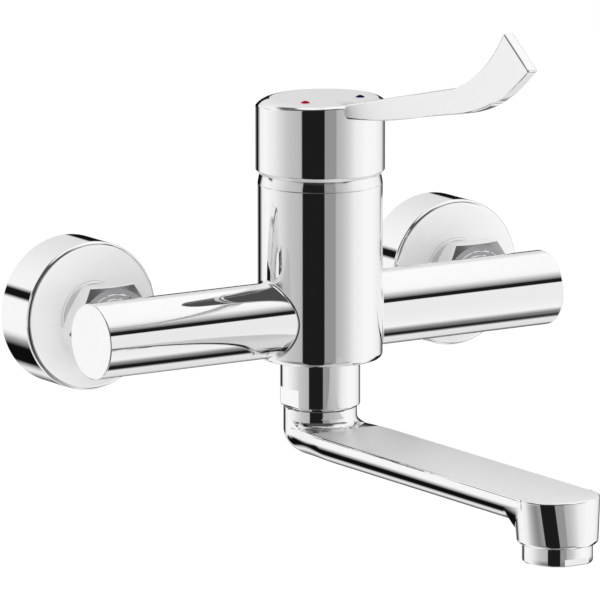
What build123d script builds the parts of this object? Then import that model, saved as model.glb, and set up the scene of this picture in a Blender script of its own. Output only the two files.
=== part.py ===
from build123d import *
import os
from math import asin, cos, pi, radians, sin, sqrt, tan

# Wall-mounted elbow lever mixer tap, in millimetres.
# The pieces are drawn about the crossing of the barrel's upright axis and the cross tube's axis:
# +X to the cold side, -Y out from the wall, +Z up. save() then puts the origin on the wall,
# midway between the two inlets.

# Clearances and cuts
TURN_CLEAR = 0.05
SEAT_CLEAR = 0.02
THREAD_CLEAR = 0.05
SMALL_GAP = 0.1
OVERRUN = 1.0

# Place on the wall
INLET_CENTRES = 150.0
WALL_TO_AXIS = 46.0
UNION_CRANK = 2.5

# Barrel and cross tube casting
BARREL_R = 21.6
BARREL_TOP = 46.4
BARREL_BELOW = 15.0
BARREL_BOTTOM_ROUND = 2.0
TUBE_R = 13.05
TUBE_HALF = 93.0
TUBE_END_ROUND = 0.4
TUBE_WALL = 4.4
TUBE_END_WALL = 5.0
CAVITY_FROM_AXIS = 13.0
PORT_R = 3.0
INLET_PORT_SPREAD = 7.6
INLET_PORT_FRONT = 4.2
OUTLET_PORT_BACK = 7.0

# Ceramic cartridge, standing on the floor of the barrel
FLOOR_HEIGHT = 16.4
CARTRIDGE_R = 17.5
CARTRIDGE_HEIGHT = 22.1
BASE_HEIGHT = 4.4
BASE_FLANGE = 1.4
HOUSING_WALL = 1.9
HOUSING_TOP = 2.0
NECK_R = 12.6
NECK_HEIGHT = 8.5
SEAL_WALL = 1.0
SEAL_HEIGHT = 1.0
SEAL_PROUD = 0.2
LOCATING_PIN_R = 1.5
LOCATING_PIN_LENGTH = 2.0
FIXED_DISC_R = 15.0
FIXED_DISC_HEIGHT = 4.0
MOVING_DISC_R = 11.8
MOVING_DISC_HEIGHT = 3.5
CARRIER_HEIGHT = 4.3
CARRIER_TONGUE_HEIGHT = 2.6
CARRIER_TONGUE_WIDTH = 9.0
CARRIER_TONGUE_LENGTH = 13.0
GUIDE_FLANGE_HEIGHT = 3.0
GUIDE_NECK_R = 10.3
GUIDE_SLOT_LENGTH = 22.0
STEM_SLOT_LENGTH = 17.0
STEM_WIDTH = 7.0
STEM_EYE_R = 5.0
STEM_ARM_R = 1.9
STEM_BALL_R = 2.6
STEM_ARM = 8.5
STEM_BELOW_TOP = 6.2
STEM_PIN_R = 1.5
STEM_PIN_LENGTH = 18.6
LIMIT_RING_HEIGHT = 2.0
STOP_TAB_REACH = 1.5
STOP_TAB_ANGLE = 10.0
TURN_LIMIT = 45.0
STOP_SPARE_ANGLE = 2.0

# Ring nut that clamps the cartridge
NUT_R = 19.25
NUT_THREAD_HEIGHT = 6.0
CASTLE_R = 17.6
CASTLE_HEIGHT = 5.0
CASTLE_SLOTS = 6
CASTLE_SLOT_WIDTH = 4.0
CASTLE_SLOT_DEPTH = 2.5

# Dome that the cap tilts over, centred on the lever's lifting axis
PIVOT_BELOW_TOP = 2.9
DOME_PROUD = 0.2
DOME_WALL = 1.0
DOME_HEIGHT = 12.4
SPIGOT_R = 20.3
SPIGOT_WALL = 0.9
SPIGOT_DEPTH = 1.8
SPIGOT_RISE = 3.4

# Cap and elbow lever
CAP_R = 22.35
CAP_ROOF = 10.65
CAP_EDGE_ROUND = 3.0
CAP_RIM_RISE = 3.5
CAP_SKIRT_RISE = 1.3
CAP_CHAMFER = 1.4
CAP_CHAMFER_HEIGHT = 1.7
CAP_CLEAR = 0.25
BOSS_R = 6.6
BOSS_ABOVE_PIVOT = 10.5
SOCKET_CLEAR = 0.02
SOCKET_SPARE = 0.5
SCREW_R = 2.5
SCREW_LENGTH = 15.0
SCREW_BELOW_TOP = 8.0
SCREW_KEY_FLATS = 2.5
SCREW_KEY_DEPTH = 2.5
SCREW_CUP_DEPTH = 0.4
DOT_R = 1.6
DOT_DEPTH = 1.2
DOT_SPREAD = 11.2
DOT_FRONT = 8.0
LEVER_ROOT_WIDTH = 7.1
LEVER_TIP_WIDTH = 3.9
LEVER_START = 18.5
LEVER_REACH = 130.9
LEVER_RISE = 38.2
LEVER_HEEL_ROUND = 1.4
# shares of the lever's length beyond its root, and of its rise above the cap
LEVER_TOP_SHARES = ((0.0, 0.0), (0.618, 0.411), (0.757, 0.642), (0.866, 1.0))
LEVER_UNDER_SHARES = ((0.0, -0.126), (0.233, -0.045), (0.534, 0.128), (0.717, 0.241), (0.867, 0.432),
                      (1.0, 0.715))

# Unions behind the cross tube, measured back from the tube's axis
NIPPLE_R = 8.5
NIPPLE_BORE_R = 6.0
NIPPLE_NECK_R = 9.3
NIPPLE_THREAD_START = 7.0
NIPPLE_FLANGE_R = 11.4
NIPPLE_FLANGE_BACK = 18.2
NIPPLE_FLANGE_THICK = 2.2
UNION_THREAD_R = 13.2
UNION_NUT_FLATS = 30.0
UNION_NUT_FRONT = 13.6
UNION_NUT_LENGTH = 8.4
UNION_NUT_CHAMFER = 2.8
WASHER_R = 11.8
WASHER_BORE_R = 7.5
WASHER_THICK = 1.8
STRAINER_THICK = 0.5
OFFSET_THREAD_LENGTH = 4.0
OFFSET_NECK_R = 11.2
OFFSET_COLLAR_R = 12.4
OFFSET_COLLAR_FRONT = 26.5
OFFSET_COLLAR_LENGTH = 9.5
OFFSET_BORE_R = 6.5
WALL_RELIEF_R = 9.3
WALL_THREAD_R = 10.4775
WALL_THREAD_LENGTH = 14.0
WALL_THREAD_CHAMFER = 0.8
ROSE_R = 25.9
ROSE_DEPTH = 17.8
ROSE_WALL = 1.2
ROSE_EDGE_ROUND = 0.5
ROSE_SLEEVE_WALL = 1.2
ROSE_SLEEVE_LENGTH = 6.0

# Outlet nipple and collar nut under the barrel
OUTLET_R = 11.0
OUTLET_LENGTH = 10.0
SHANK_R = 8.1
SHANK_TOP = 12.0
COLLAR_R = 13.85
COLLAR_HEIGHT = 16.4
COLLAR_FLATS = 25.6
COLLAR_FLAT_HEIGHT = 6.6
COLLAR_LIP = 1.8
COLLAR_LIP_R = 10.2
RETAINER_R = 10.6
RETAINER_GROOVE_R = 7.0
RETAINER_HEIGHT = 3.2
RETAINER_SLIT = 1.5
O_RING_R = 0.8
O_RING_GROOVE_HEIGHT = 1.9
O_RING_GROOVE_R = 6.46
O_RING_FROM_TOP = 3.6
O_RING_PITCH = 4.6
SHANK_BORE_R = 4.6

# Spout
SPOUT_REACH = 146.5
SPOUT_NECK_R = 12.75
SPOUT_NECK_GAP = 0.6
SPOUT_TOP = 38.2
ARM_WIDTH = 29.8
ARM_DEPTH = 11.4
ARM_SIDE = 1.6
ARM_FLARE = 22.0
NECK_FILLET = 3.2
ARM_BORE_R = 3.4
HEAD_BOTTOM = 54.2
HEAD_BOTTOM_ROUND = 1.5
HEAD_TAPER = 1.25
HEAD_FRONT_FLAT = 2.1
HEAD_NOSE_BACK = 2.3
HEAD_UNDER_FILLET = 6.0

# Aerator in the spout's head; its radii step in from the head's round end
AERATOR_STEP = 1.75
AERATOR_PROUD = 6.1
AERATOR_THREAD_STEP = 0.5
AERATOR_THREAD_LENGTH = 5.4
AERATOR_WALL = 1.2
AERATOR_LIP = 1.2
AERATOR_LIP_WIDTH = 0.9
AERATOR_FLAT_DEPTH = 0.85
AERATOR_FLAT_HEIGHT = 2.6
AERATOR_EDGE_ROUND = 0.7
INSERT_HEIGHT = 8.0
INSERT_HOLE_R = 0.7
# holes in the three circles of the insert, and the circles' radii as shares of its own
INSERT_HOLE_COUNTS = (4, 10, 16)
INSERT_RING_SHARES = (0.235, 0.51, 0.785)
AERATOR_SEAL_THICK = 1.6
AERATOR_SEAL_WIDTH = 2.8
HEAD_CHAMBER_STEP = 0.6
HEAD_CHAMBER_HEIGHT = 2.2

# Heights and places that follow from the sizes above
PIVOT = BARREL_TOP - PIVOT_BELOW_TOP
SHOULDER = FLOOR_HEIGHT + CARTRIDGE_HEIGHT
BASE_TOP = FLOOR_HEIGHT + SEAL_PROUD + BASE_HEIGHT
FIXED_DISC_TOP = BASE_TOP + FIXED_DISC_HEIGHT
MOVING_DISC_BOTTOM = FIXED_DISC_TOP + SEAT_CLEAR
MOVING_DISC_TOP = MOVING_DISC_BOTTOM + MOVING_DISC_HEIGHT
CARRIER_TOP = MOVING_DISC_TOP + CARRIER_HEIGHT
GUIDE_FLANGE_TOP = SHOULDER - HOUSING_TOP - SMALL_GAP
GUIDE_FLANGE_BOTTOM = GUIDE_FLANGE_TOP - GUIDE_FLANGE_HEIGHT
NECK_TOP = SHOULDER + NECK_HEIGHT
GUIDE_TOP = NECK_TOP + LIMIT_RING_HEIGHT
DOME_R = BARREL_R + DOME_PROUD
CAP_HOLLOW_R = DOME_R + CAP_CLEAR
CAP_RIM = BARREL_TOP + CAP_RIM_RISE
CAP_SKIRT = CAP_RIM + CAP_SKIRT_RISE
CAP_TOP = PIVOT + CAP_HOLLOW_R + CAP_ROOF
STEM_ABOVE_PIVOT = CAP_TOP - STEM_BELOW_TOP - PIVOT
OUTLET_BOTTOM = -BARREL_BELOW - OUTLET_LENGTH
COLLAR_TOP = -BARREL_BELOW - SMALL_GAP
COLLAR_BOTTOM = -BARREL_BELOW - COLLAR_HEIGHT
RETAINER_BOTTOM = COLLAR_BOTTOM + COLLAR_LIP + SMALL_GAP
RETAINER_TOP = RETAINER_BOTTOM + RETAINER_HEIGHT
SPOUT_NECK_TOP = COLLAR_BOTTOM - SPOUT_NECK_GAP
HEAD_R = ARM_WIDTH / 2 - HEAD_TAPER
AERATOR_R = HEAD_R - AERATOR_STEP
AERATOR_THREAD_R = AERATOR_R - AERATOR_THREAD_STEP
AERATOR_BORE_R = AERATOR_THREAD_R - AERATOR_WALL
AERATOR_LIP_R = AERATOR_BORE_R - AERATOR_LIP_WIDTH
AERATOR_SEAL_BORE_R = AERATOR_THREAD_R - AERATOR_SEAL_WIDTH
HEAD_CHAMBER_R = AERATOR_SEAL_BORE_R - HEAD_CHAMBER_STEP
AERATOR_TOP = -HEAD_BOTTOM + AERATOR_THREAD_LENGTH
AERATOR_BOTTOM = -HEAD_BOTTOM - AERATOR_PROUD
OFFSET_FRONT = NIPPLE_FLANGE_BACK + WASHER_THICK
SIDES = (("left", -1), ("right", 1))


def disc(radius, bottom, top):
    """Upright cylinder about the Z axis."""
    return Pos(0, 0, bottom) * Cylinder(radius, top - bottom, align=(Align.CENTER, Align.CENTER, Align.MIN))


def ring(outer, inner, bottom, top):
    """Upright tube about the Z axis."""
    return disc(outer, bottom, top) - disc(inner, bottom - OVERRUN, top + OVERRUN)


def block(width, length, bottom, top):
    """Upright block centred on the Z axis: width along X, length along Y."""
    return Pos(0, 0, bottom) * Box(width, length, top - bottom, align=(Align.CENTER, Align.CENTER, Align.MIN))


def turned(*corners):
    """Solid turned about the Z axis from (radius, height) corners."""
    return revolve(Plane.XZ * make_face(Polyline(*corners, close=True)), Axis.Z)


def toward_wall(x, z, solid):
    """Lays an upright solid down so that its height runs back to the wall, through (x, z)."""
    return Pos(x, 0, z) * Rot(-90, 0, 0) * solid


def flats(across, bottom, top, turn=0):
    """What lies outside two parallel wrench flats; the flats face X when turn is 0."""
    far = 2 * across
    slab = block(across, far, bottom, top)
    return Rot(0, 0, turn) * (block(far, far - OVERRUN, bottom, top) - slab)


def save(node, *solids):
    """Moves a piece to the frame on the wall and writes it."""
    place = Pos(0, -WALL_TO_AXIS, -UNION_CRANK)
    placed = [place * solid for solid in solids]
    export_step(placed[0] if len(placed) == 1 else Compound(children=placed), f"parts/{node}.step")


def port_places():
    """Hot, cold and outlet ports in the cartridge floor."""
    hot = (-INLET_PORT_SPREAD, -INLET_PORT_FRONT)
    cold = (INLET_PORT_SPREAD, -INLET_PORT_FRONT)
    return (hot, cold, (0, OUTLET_PORT_BACK))


def pin_places():
    """Two locating pins of the cartridge, either side of the floor."""
    reach = CARTRIDGE_R - HOUSING_WALL - LOCATING_PIN_R
    return ((-reach, OUTLET_PORT_BACK / 2), (reach, OUTLET_PORT_BACK / 2))


def make_mixer_body():
    """Casting: barrel, cross tube, outlet nipple, waterways and the seats of the cartridge."""
    barrel = disc(BARREL_R, -BARREL_BELOW, BARREL_TOP)
    barrel = fillet(barrel.edges().sort_by(Axis.Z)[0], BARREL_BOTTOM_ROUND)
    tube = disc(TUBE_R, -TUBE_HALF, TUBE_HALF)
    tube = Rot(0, 90, 0) * fillet(tube.edges().filter_by(GeomType.CIRCLE), TUBE_END_ROUND)
    body = barrel + tube + disc(OUTLET_R, OUTLET_BOTTOM, 0)
    # seats from the top: dome spigot, ring nut thread, cartridge
    body -= disc(SPIGOT_R + THREAD_CLEAR, SHOULDER + NUT_THREAD_HEIGHT, BARREL_TOP + OVERRUN)
    body -= disc(NUT_R + THREAD_CLEAR, SHOULDER - SMALL_GAP, BARREL_TOP)
    body -= disc(CARTRIDGE_R + THREAD_CLEAR, FLOOR_HEIGHT, BARREL_TOP)
    # hot and cold water come along the tube and rise to the floor, mixed water drops to the spout
    cavity = disc(TUBE_R - TUBE_WALL, CAVITY_FROM_AXIS, TUBE_HALF - TUBE_END_WALL)
    gallery = disc(PORT_R, INLET_PORT_SPREAD, CAVITY_FROM_AXIS + OVERRUN)
    for side in (-1, 1):
        body -= Rot(0, side * 90, 0) * cavity
        body -= Pos(0, -INLET_PORT_FRONT, 0) * Rot(0, side * 90, 0) * gallery
        body -= Pos(side * INLET_PORT_SPREAD, -INLET_PORT_FRONT, 0) * disc(PORT_R, 0, FLOOR_HEIGHT + OVERRUN)
        body -= toward_wall(side * INLET_CENTRES / 2, 0, disc(NIPPLE_R + THREAD_CLEAR, 0, TUBE_R + OVERRUN))
    body -= Pos(0, OUTLET_PORT_BACK, 0) * disc(PORT_R, -SHANK_TOP, FLOOR_HEIGHT + OVERRUN)
    body -= disc(SHANK_R + SEAT_CLEAR, OUTLET_BOTTOM - OVERRUN, -SHANK_TOP + SMALL_GAP)
    pin_foot = FLOOR_HEIGHT - LOCATING_PIN_LENGTH - SMALL_GAP
    for x, y in pin_places():
        body -= Pos(x, y, 0) * disc(LOCATING_PIN_R + THREAD_CLEAR, pin_foot, FLOOR_HEIGHT + OVERRUN)
    return body


def seal_rings(bottom):
    """Three port seals lying in one plane."""
    seal = ring(PORT_R + SEAL_WALL, PORT_R, bottom, bottom + SEAL_HEIGHT)
    return [Pos(x, y, 0) * seal for x, y in port_places()]


def cut_ports(solid, bottom, top, radius):
    """Takes the three ports out of a disc."""
    for x, y in port_places():
        solid -= Pos(x, y, 0) * disc(radius, bottom, top)
    return solid


def make_cartridge_base():
    """Lower half of the cartridge, with seal pockets on both faces and the locating pins."""
    bottom = FLOOR_HEIGHT + SEAL_PROUD
    base = disc(CARTRIDGE_R - SMALL_GAP, bottom, bottom + BASE_FLANGE)
    base += disc(CARTRIDGE_R - HOUSING_WALL - SEAT_CLEAR, bottom, BASE_TOP)
    base = cut_ports(base, bottom - OVERRUN, BASE_TOP + OVERRUN, PORT_R)
    pocket = PORT_R + SEAL_WALL + SEAT_CLEAR
    base = cut_ports(base, bottom - OVERRUN, FLOOR_HEIGHT + SEAL_HEIGHT, pocket)
    base = cut_ports(base, BASE_TOP - SEAL_HEIGHT, BASE_TOP + OVERRUN, pocket)
    for x, y in pin_places():
        base += Pos(x, y, 0) * disc(LOCATING_PIN_R, FLOOR_HEIGHT - LOCATING_PIN_LENGTH, bottom + BASE_FLANGE)
    return base


def make_cartridge_housing():
    """Upper half of the cartridge: a cup with its mouth down and a neck on top."""
    bottom = FLOOR_HEIGHT + SEAL_PROUD + BASE_FLANGE
    housing = disc(CARTRIDGE_R, bottom, SHOULDER) + disc(NECK_R, SHOULDER - OVERRUN, NECK_TOP)
    housing -= disc(CARTRIDGE_R - HOUSING_WALL, bottom - OVERRUN, SHOULDER - HOUSING_TOP)
    return housing - disc(GUIDE_NECK_R + TURN_CLEAR, bottom, NECK_TOP + OVERRUN)


def make_fixed_disc():
    """Lower ceramic disc with its three ports."""
    plate = disc(FIXED_DISC_R, BASE_TOP, FIXED_DISC_TOP)
    return cut_ports(plate, BASE_TOP - OVERRUN, FIXED_DISC_TOP + OVERRUN, PORT_R)


def make_moving_disc():
    """Upper ceramic disc: a blind channel in its underside joins the ports as it slides."""
    plate = disc(MOVING_DISC_R, MOVING_DISC_BOTTOM, MOVING_DISC_TOP)
    top = MOVING_DISC_TOP - MOVING_DISC_HEIGHT / 3
    return plate - Pos(0, PORT_R / 2, 0) * disc(2 * PORT_R, MOVING_DISC_BOTTOM - OVERRUN, top)


def make_disc_carrier():
    """Plastic carrier on the moving disc, with the tongue that slides in the stem guide."""
    carrier = disc(MOVING_DISC_R, MOVING_DISC_TOP, CARRIER_TOP)
    tongue_top = CARRIER_TOP + CARRIER_TONGUE_HEIGHT
    carrier += block(CARRIER_TONGUE_WIDTH, CARRIER_TONGUE_LENGTH, MOVING_DISC_TOP, tongue_top)
    socket = disc(STEM_BALL_R + SMALL_GAP, PIVOT - STEM_ARM - STEM_BALL_R - 2 * SMALL_GAP, PIVOT)
    return carrier - socket


def make_stem_guide():
    """Rotor that turns in the housing: flange, neck, slots for tongue and stem, and the stop tab."""
    guide = disc(CARTRIDGE_R - HOUSING_WALL - SMALL_GAP, GUIDE_FLANGE_BOTTOM, GUIDE_FLANGE_TOP)
    guide += disc(GUIDE_NECK_R, GUIDE_FLANGE_BOTTOM, GUIDE_TOP)
    guide += stop_sector(GUIDE_NECK_R + STOP_TAB_REACH, STOP_TAB_ANGLE, NECK_TOP + SMALL_GAP, GUIDE_TOP)
    below = GUIDE_FLANGE_BOTTOM - OVERRUN
    tongue_slot = CARRIER_TOP + CARRIER_TONGUE_HEIGHT + SMALL_GAP
    guide -= block(CARRIER_TONGUE_WIDTH + 2 * TURN_CLEAR, GUIDE_SLOT_LENGTH, below, tongue_slot)
    guide -= block(STEM_WIDTH + 2 * TURN_CLEAR, STEM_SLOT_LENGTH, below, GUIDE_TOP + OVERRUN)
    return guide - cross_pin(STEM_PIN_R + SEAT_CLEAR, 2 * GUIDE_NECK_R)


def cross_pin(radius, length):
    """Cylinder along X through the lifting axis."""
    return Pos(-length / 2, 0, PIVOT) * Rot(0, 90, 0) * disc(radius, 0, length)


def stop_sector(radius, half_angle, bottom, top):
    """Wedge of a disc that opens to the front by half_angle each side."""
    side = Plane.XZ * Pos(radius / 2, (bottom + top) / 2) * Rectangle(radius, top - bottom)
    return Rot(0, 0, -90 - half_angle) * revolve(side, Axis.Z, 2 * half_angle)


def make_limit_ring():
    """Temperature stop on the neck: the guide's tab swings inside its notch."""
    stop = ring(NECK_R - SMALL_GAP, GUIDE_NECK_R + TURN_CLEAR, NECK_TOP, GUIDE_TOP)
    notch = TURN_LIMIT + STOP_TAB_ANGLE + STOP_SPARE_ANGLE
    reach = GUIDE_NECK_R + STOP_TAB_REACH + SMALL_GAP
    return stop - stop_sector(reach, notch, NECK_TOP - OVERRUN, GUIDE_TOP + OVERRUN)


def make_stem():
    """Lever pin: square shank for the cap, eye on the cross pin and ball end in the disc carrier."""
    stem = block(STEM_WIDTH, STEM_WIDTH, PIVOT, PIVOT + STEM_ABOVE_PIVOT)
    stem += Pos(-STEM_WIDTH / 2, 0, PIVOT) * Rot(0, 90, 0) * disc(STEM_EYE_R, 0, STEM_WIDTH)
    stem += disc(STEM_ARM_R, PIVOT - STEM_ARM, PIVOT)
    stem += Pos(0, 0, PIVOT - STEM_ARM) * Sphere(STEM_BALL_R)
    return stem - cross_pin(STEM_PIN_R + TURN_CLEAR, 2 * STEM_WIDTH)


def make_cartridge_nut():
    """Threaded ring with a castellated top for the key."""
    top = SHOULDER + NUT_THREAD_HEIGHT
    castle_top = top + CASTLE_HEIGHT
    nut = disc(NUT_R, SHOULDER, top) + disc(CASTLE_R, top - OVERRUN, castle_top)
    nut -= disc(NECK_R + SMALL_GAP, SHOULDER - OVERRUN, castle_top + OVERRUN)
    for step in range(CASTLE_SLOTS // 2):
        slot = block(CASTLE_SLOT_WIDTH, 2 * NUT_R, castle_top - CASTLE_SLOT_DEPTH, castle_top + OVERRUN)
        nut -= Rot(0, 0, step * 360 / CASTLE_SLOTS) * slot
    return nut


def make_dome_cover():
    """Spherical cover over the ring nut, open at the top for the boss of the cap."""
    shell = Sphere(DOME_R) - Sphere(DOME_R - DOME_WALL)
    dome = Pos(0, 0, PIVOT) * shell & disc(2 * DOME_R, BARREL_TOP, BARREL_TOP + DOME_HEIGHT)
    return dome + ring(SPIGOT_R, SPIGOT_R - SPIGOT_WALL, BARREL_TOP - SPIGOT_DEPTH, BARREL_TOP + SPIGOT_RISE)


def lever_point(shares):
    """Point of the lever's side view from its shares of length and rise."""
    along, up = shares
    return (-LEVER_START - along * (LEVER_REACH - LEVER_START), CAP_TOP + up * LEVER_RISE)


def make_lever_blade():
    """Elbow lever: a blade on edge, tapered in plan, that rises straight and then curls up."""
    root, straight, curl, tip = (lever_point(shares) for shares in LEVER_TOP_SHARES)
    under = [lever_point(shares) for shares in LEVER_UNDER_SHARES]
    inside = (-CAP_HOLLOW_R / 3, root[1] - CAP_EDGE_ROUND)
    inside_low = (inside[0], under[0][1])
    start = (root[0], root[1] - SMALL_GAP)
    outline = [Line(inside, start), Line(start, straight), ThreePointArc(straight, curl, tip)]
    outline += [Line(tip, under[-1]), Spline(*reversed(under))]
    outline += [Line(under[0], inside_low), Line(inside_low, inside)]
    side_view = Plane.YZ * make_face(outline)
    blade = extrude(side_view, LEVER_ROOT_WIDTH / 2, both=True)
    heel = blade.edges().filter_by(Axis.X).sort_by(Axis.Y)[0]
    blade = fillet(heel, LEVER_HEEL_ROUND)
    # in plan the blade narrows evenly from its root to its tip
    half_root = LEVER_ROOT_WIDTH / 2
    half_tip = LEVER_TIP_WIDTH / 2
    left = ((-half_root, 0), (-half_root, -LEVER_START), (-half_tip, -LEVER_REACH))
    right = ((half_tip, -LEVER_REACH), (half_root, -LEVER_START), (half_root, 0))
    plan = make_face(Polyline(*left, *right, close=True))
    return blade & extrude(plan, 2 * (CAP_TOP + LEVER_RISE))


def make_lever_handle():
    """Cap with its hollow, boss and socket, and the elbow lever in one piece with it."""
    foot_drop = CAP_CHAMFER_HEIGHT * 2
    foot_r = CAP_R - CAP_CHAMFER * 2
    cap = disc(CAP_R, CAP_SKIRT, CAP_TOP)
    cap = fillet(cap.edges().sort_by(Axis.Z)[-1], CAP_EDGE_ROUND)
    cap += turned((0, CAP_SKIRT + OVERRUN), (CAP_R, CAP_SKIRT + OVERRUN), (CAP_R, CAP_SKIRT),
                  (foot_r, CAP_SKIRT - foot_drop), (0, CAP_SKIRT - foot_drop))
    handle = cap + make_lever_blade()
    handle -= Pos(0, 0, PIVOT) * Sphere(CAP_HOLLOW_R)
    handle -= disc(2 * CAP_R, 0, CAP_RIM)
    handle += disc(BOSS_R, PIVOT + BOSS_ABOVE_PIVOT, CAP_TOP - CAP_EDGE_ROUND)
    socket = STEM_WIDTH + 2 * SOCKET_CLEAR
    handle -= block(socket, socket, PIVOT, PIVOT + STEM_ABOVE_PIVOT + SOCKET_SPARE)
    handle -= toward_wall(0, CAP_TOP - SCREW_BELOW_TOP, disc(SCREW_R + SEAT_CLEAR, 0, CAP_R + OVERRUN))
    for side in (-1, 1):
        handle -= Pos(side * DOT_SPREAD, -DOT_FRONT, 0) * disc(DOT_R + SEAT_CLEAR, CAP_TOP - DOT_DEPTH,
                                                               CAP_TOP + OVERRUN)
    return handle


def make_grub_screw():
    """Socket-head grub screw from the back of the cap onto the stem."""
    start = STEM_WIDTH / 2 + SEAT_CLEAR
    screw = disc(SCREW_R, start, start + SCREW_LENGTH)
    screw -= disc(SCREW_R / 2, start - OVERRUN, start + SCREW_CUP_DEPTH)
    key = extrude(RegularPolygon(SCREW_KEY_FLATS / sqrt(3), 6), SCREW_KEY_DEPTH + OVERRUN)
    screw -= Pos(0, 0, start + SCREW_LENGTH - SCREW_KEY_DEPTH) * key
    return toward_wall(0, CAP_TOP - SCREW_BELOW_TOP, screw)


def make_dot(side):
    """Inlaid temperature mark, flush with the top of the cap."""
    return Pos(side * DOT_SPREAD, -DOT_FRONT, 0) * disc(DOT_R, CAP_TOP - DOT_DEPTH, CAP_TOP)


def make_inlet_nipple():
    """Flanged tail screwed into the cross tube; it holds the union nut."""
    flange_front = NIPPLE_FLANGE_BACK - NIPPLE_FLANGE_THICK
    tail = disc(NIPPLE_R, NIPPLE_THREAD_START, TUBE_R) + disc(NIPPLE_NECK_R, TUBE_R, flange_front)
    tail += disc(NIPPLE_FLANGE_R, flange_front, NIPPLE_FLANGE_BACK)
    return tail - disc(NIPPLE_BORE_R, NIPPLE_THREAD_START - OVERRUN, NIPPLE_FLANGE_BACK + OVERRUN)


def make_union_nut():
    """Hexagon nut with chamfered faces, threaded from the back, with a lip behind the flange."""
    back = UNION_NUT_FRONT + UNION_NUT_LENGTH
    corner = UNION_NUT_FLATS / sqrt(3)
    low = corner - UNION_NUT_CHAMFER
    drop = UNION_NUT_CHAMFER * tan(radians(30))
    prism = extrude(RegularPolygon(corner, 6), UNION_NUT_LENGTH)
    envelope = turned((0, UNION_NUT_FRONT), (low, UNION_NUT_FRONT), (corner, UNION_NUT_FRONT + drop),
                      (corner, back - drop), (low, back), (0, back))
    nut = Pos(0, 0, UNION_NUT_FRONT) * prism & envelope
    flange_front = NIPPLE_FLANGE_BACK - NIPPLE_FLANGE_THICK
    nut -= disc(NIPPLE_NECK_R + THREAD_CLEAR, 0, back)
    return nut - disc(UNION_THREAD_R + THREAD_CLEAR, flange_front, back + OVERRUN)


def make_filter_washer():
    """Union seal with a strainer plate across its bore."""
    start = NIPPLE_FLANGE_BACK
    washer = ring(WASHER_R, WASHER_BORE_R, start, OFFSET_FRONT)
    middle = start + (WASHER_THICK - STRAINER_THICK) / 2
    strainer = disc(WASHER_BORE_R + SMALL_GAP, middle, middle + STRAINER_THICK)
    hole = disc(WASHER_BORE_R / 6, middle - OVERRUN, middle + OVERRUN)
    for x in (-1, 0, 1):
        for y in (-1, 0, 1):
            strainer -= Pos(x * WASHER_BORE_R / 2, y * WASHER_BORE_R / 2, 0) * hole
    return washer + strainer


def make_offset_union():
    """Cranked wall union: union thread, collar for the rose, relieved neck and pipe thread."""
    end = WALL_TO_AXIS + WALL_THREAD_LENGTH
    collar_back = OFFSET_COLLAR_FRONT + OFFSET_COLLAR_LENGTH
    front = disc(UNION_THREAD_R, OFFSET_FRONT, OFFSET_FRONT + OFFSET_THREAD_LENGTH)
    front += disc(OFFSET_NECK_R, OFFSET_FRONT, OFFSET_COLLAR_FRONT + OVERRUN)
    collar = disc(OFFSET_COLLAR_R, OFFSET_COLLAR_FRONT, collar_back)
    thread = disc(WALL_THREAD_R, WALL_TO_AXIS, end)
    thread = chamfer(thread.edges().sort_by(Axis.Z)[-1], WALL_THREAD_CHAMFER)
    thread += disc(WALL_RELIEF_R, collar_back - OVERRUN, WALL_TO_AXIS + OVERRUN)
    # laid down, the wall side sits higher than the tap side by the crank
    wall_side = Pos(0, -UNION_CRANK, 0) * (collar + thread)
    union = front + wall_side
    union -= disc(OFFSET_BORE_R, OFFSET_FRONT - OVERRUN, collar_back)
    return union - Pos(0, -UNION_CRANK, 0) * disc(OFFSET_BORE_R, OFFSET_COLLAR_FRONT + OVERRUN, end + OVERRUN)


def make_escutcheon():
    """Deep wall rose: a cup with its mouth on the wall and a sleeve on the union's collar."""
    front = WALL_TO_AXIS - ROSE_DEPTH
    rose = disc(ROSE_R, front, WALL_TO_AXIS)
    rose = fillet(rose.edges().sort_by(Axis.Z)[0], ROSE_EDGE_ROUND)
    rose -= disc(ROSE_R - ROSE_WALL, front + ROSE_WALL, WALL_TO_AXIS + OVERRUN)
    bore = OFFSET_COLLAR_R + TURN_CLEAR
    rose += disc(bore + ROSE_SLEEVE_WALL, front + ROSE_WALL / 2, front + ROSE_SLEEVE_LENGTH)
    return Pos(0, -UNION_CRANK, 0) * (rose - disc(bore, front - OVERRUN, WALL_TO_AXIS))


def make_spout_nut():
    """Collar nut under the barrel with two wrench flats and a lip that holds the retaining ring."""
    nut = disc(COLLAR_R, COLLAR_BOTTOM, COLLAR_TOP)
    nut -= flats(COLLAR_FLATS, COLLAR_BOTTOM - OVERRUN, COLLAR_BOTTOM + COLLAR_FLAT_HEIGHT)
    nut -= disc(OUTLET_R + THREAD_CLEAR, COLLAR_BOTTOM + COLLAR_LIP, COLLAR_TOP + OVERRUN)
    return nut - disc(COLLAR_LIP_R, COLLAR_BOTTOM - OVERRUN, 0)


def make_spout_retaining_ring():
    """Split plastic ring in the shank's groove, held between the outlet nipple and the nut's lip."""
    band = ring(RETAINER_R, RETAINER_GROOVE_R + TURN_CLEAR, RETAINER_BOTTOM, RETAINER_TOP)
    slit = block(RETAINER_SLIT, 2 * RETAINER_R, RETAINER_BOTTOM - OVERRUN, RETAINER_TOP + OVERRUN)
    return band - Pos(0, RETAINER_R, 0) * slit


def o_ring_heights():
    """Middle heights of the two shank seals."""
    first = -SHANK_TOP - O_RING_FROM_TOP
    return (first, first - O_RING_PITCH)


def make_spout_o_ring(height):
    """One shank seal."""
    return Pos(0, 0, height) * Torus(O_RING_GROOVE_R + SEAT_CLEAR + O_RING_R, O_RING_R)


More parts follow.
